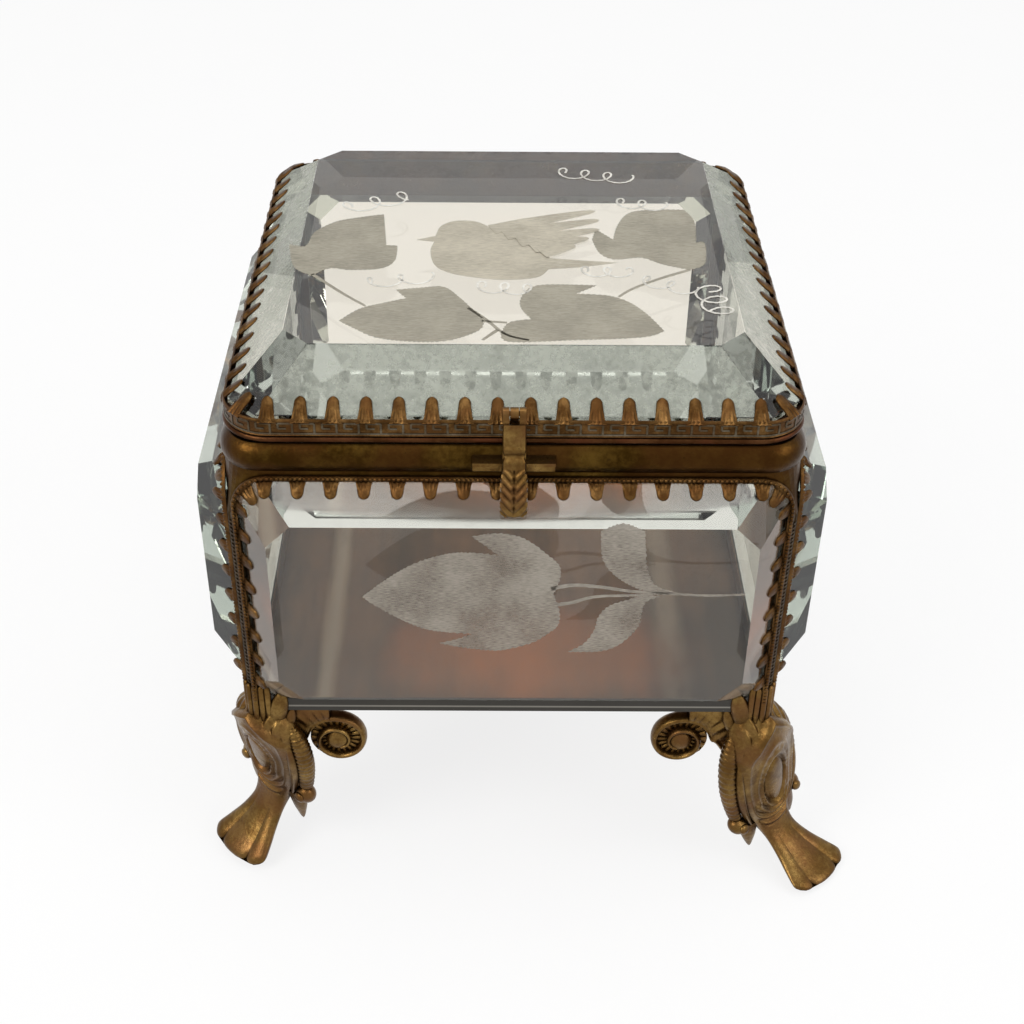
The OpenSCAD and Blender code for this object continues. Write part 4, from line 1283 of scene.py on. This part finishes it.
def makeLidEngraving():
    leaves, bird, tendrils = Form(), Form(), Form()
    addSheet(bird, serrated(lidBird, 0), onLidPane())
    for k, (root, tip) in enumerate(lidFeathers):
        addSheet(bird, feather(root, tip), onLidPane(0.05 * (k + 1)))
    for runs in lidLeaves:
        addSheet(leaves, serrated(runs), onLidPane())
    for line in lidStems:
        addSheet(leaves, ribbon(drawn(line, 8), 0.9, 0.6), onLidPane())
    wide = engraving.tendril
    for tendril in lidTendrils:
        line = curl(*tendril)
        for k, (a, b) in enumerate(zip(line, line[1:])):
            addSheet(tendrils, ribbon([a, b + (b - a) * 0.12], wide, wide), onLidPane(0.05 + 0.05 * (k % 2)))
    for name, form in (("lidLeaves", leaves), ("lidBird", bird), ("lidTendrils", tendrils)):
        makeEngraving(name, form, name + "Frost", "lid")


def makeBevelFilm():
    # a pale film on the lid's four bevels: haze of the old glass, with painted pale-mint light where the
    # bevels pass light on
    form = Form()
    low, edge = film.low, film.edge
    for i in range(4):
        (footHalf, footOut), (topHalf, topOut) = film.foot[i % 2], film.top[i % 2]
        run, rise = footOut - topOut, lidFace - low
        tall = hypot(run, rise)
        out = Vector((0, -rise / tall, run / tall))

        def onBevel(x, high, depth):
            spot = Vector((x, -footOut + run * high / tall, low + rise * high / tall))
            return turn(90 * i, "Z") @ (spot + out * (engraving.gap + depth))

        outline = [(-footHalf, edge), (footHalf, edge), (topHalf, tall - edge), (-topHalf, tall - edge)]
        addSheet(form, outline, onBevel)
    makeEngraving("lidBevelHazeAndPaintedLight", form, "bevelHazeAndPaintedLight", "lid")


print("engraving: leaves on the front, a bird among leaves on the lid")
makeFrontEngraving()
makeLidEngraving()
makeBevelFilm()

# stage

stageSetup = {
    "floorSize": 6.0, "floorColour": (0.8, 0.8, 0.8), "floorPale": (0.83, 0.83, 0.83), "floorPatch": 0.03,
    "whiteShare": 0.8, "worldLevel": 0.6,
}

lampSetup = [
    {"name": "keyLamp", "place": (-0.8, -0.7, 1.0), "size": 0.7, "watts": 9.0, "colour": (1, 0.98, 0.95)},
    {"name": "fillLamp", "place": (1.0, -0.5, 0.8), "size": 0.8, "watts": 5.0, "colour": (0.97, 0.98, 1)},
    {"name": "topLamp", "place": (0.1, 0.1, 1.5), "size": 1.0, "watts": 5.0, "colour": (1, 1, 1)},
]


def makeFloor(setup):
    half = setup.floorSize / 2
    data = bpy.data.meshes.new("floor")
    corners = [(-half, -half, 0), (half, -half, 0), (half, half, 0), (-half, half, 0)]
    data.from_pydata(corners, [], [range(4)])
    paint = Paint("paleFloor")
    matt = paint.add("ShaderNodeBsdfPrincipled", None, {
        "Base Color": paint.mix(paint.noise(setup.floorPatch, 2), setup.floorColour, setup.floorPale),
        "Roughness": 1.0, "Specular IOR Level": 0.0,
    })
    white = paint.add("ShaderNodeEmission", None, {"Color": (1, 1, 1), "Strength": 1.0})
    paint.blend(paint.seen() * setup.whiteShare, matt, white)
    data.materials.append(paint.owner)
    addObject("floor", data)


def makeWorld(setup):
    # plain white to look at, a softer white as light
    paint = Paint("studio", "World")
    level = paint.seen() * (1 - setup.worldLevel) + setup.worldLevel
    paint.show(paint.add("ShaderNodeBackground", None, {"Color": (1, 1, 1), "Strength": level}))
    bpy.context.scene.world = paint.owner


def makeLamp(setup):
    data = bpy.data.lights.new(setup.name, "AREA")
    data.shape = "DISK"
    data.size = setup.size
    data.energy = setup.watts
    data.color = setup.colour
    lamp = addObject(setup.name, data)
    lamp.location = setup.place
    lamp.rotation_euler = (-Vector(setup.place)).to_track_quat("-Z", "Y").to_euler()


print("stage: floor, world and lamps")
stage = Values(**stageSetup)
makeFloor(stage)
makeWorld(stage)
for setup in lampSetup:
    makeLamp(Values(**setup))
bpy.context.scene.view_settings.view_transform = "Standard"
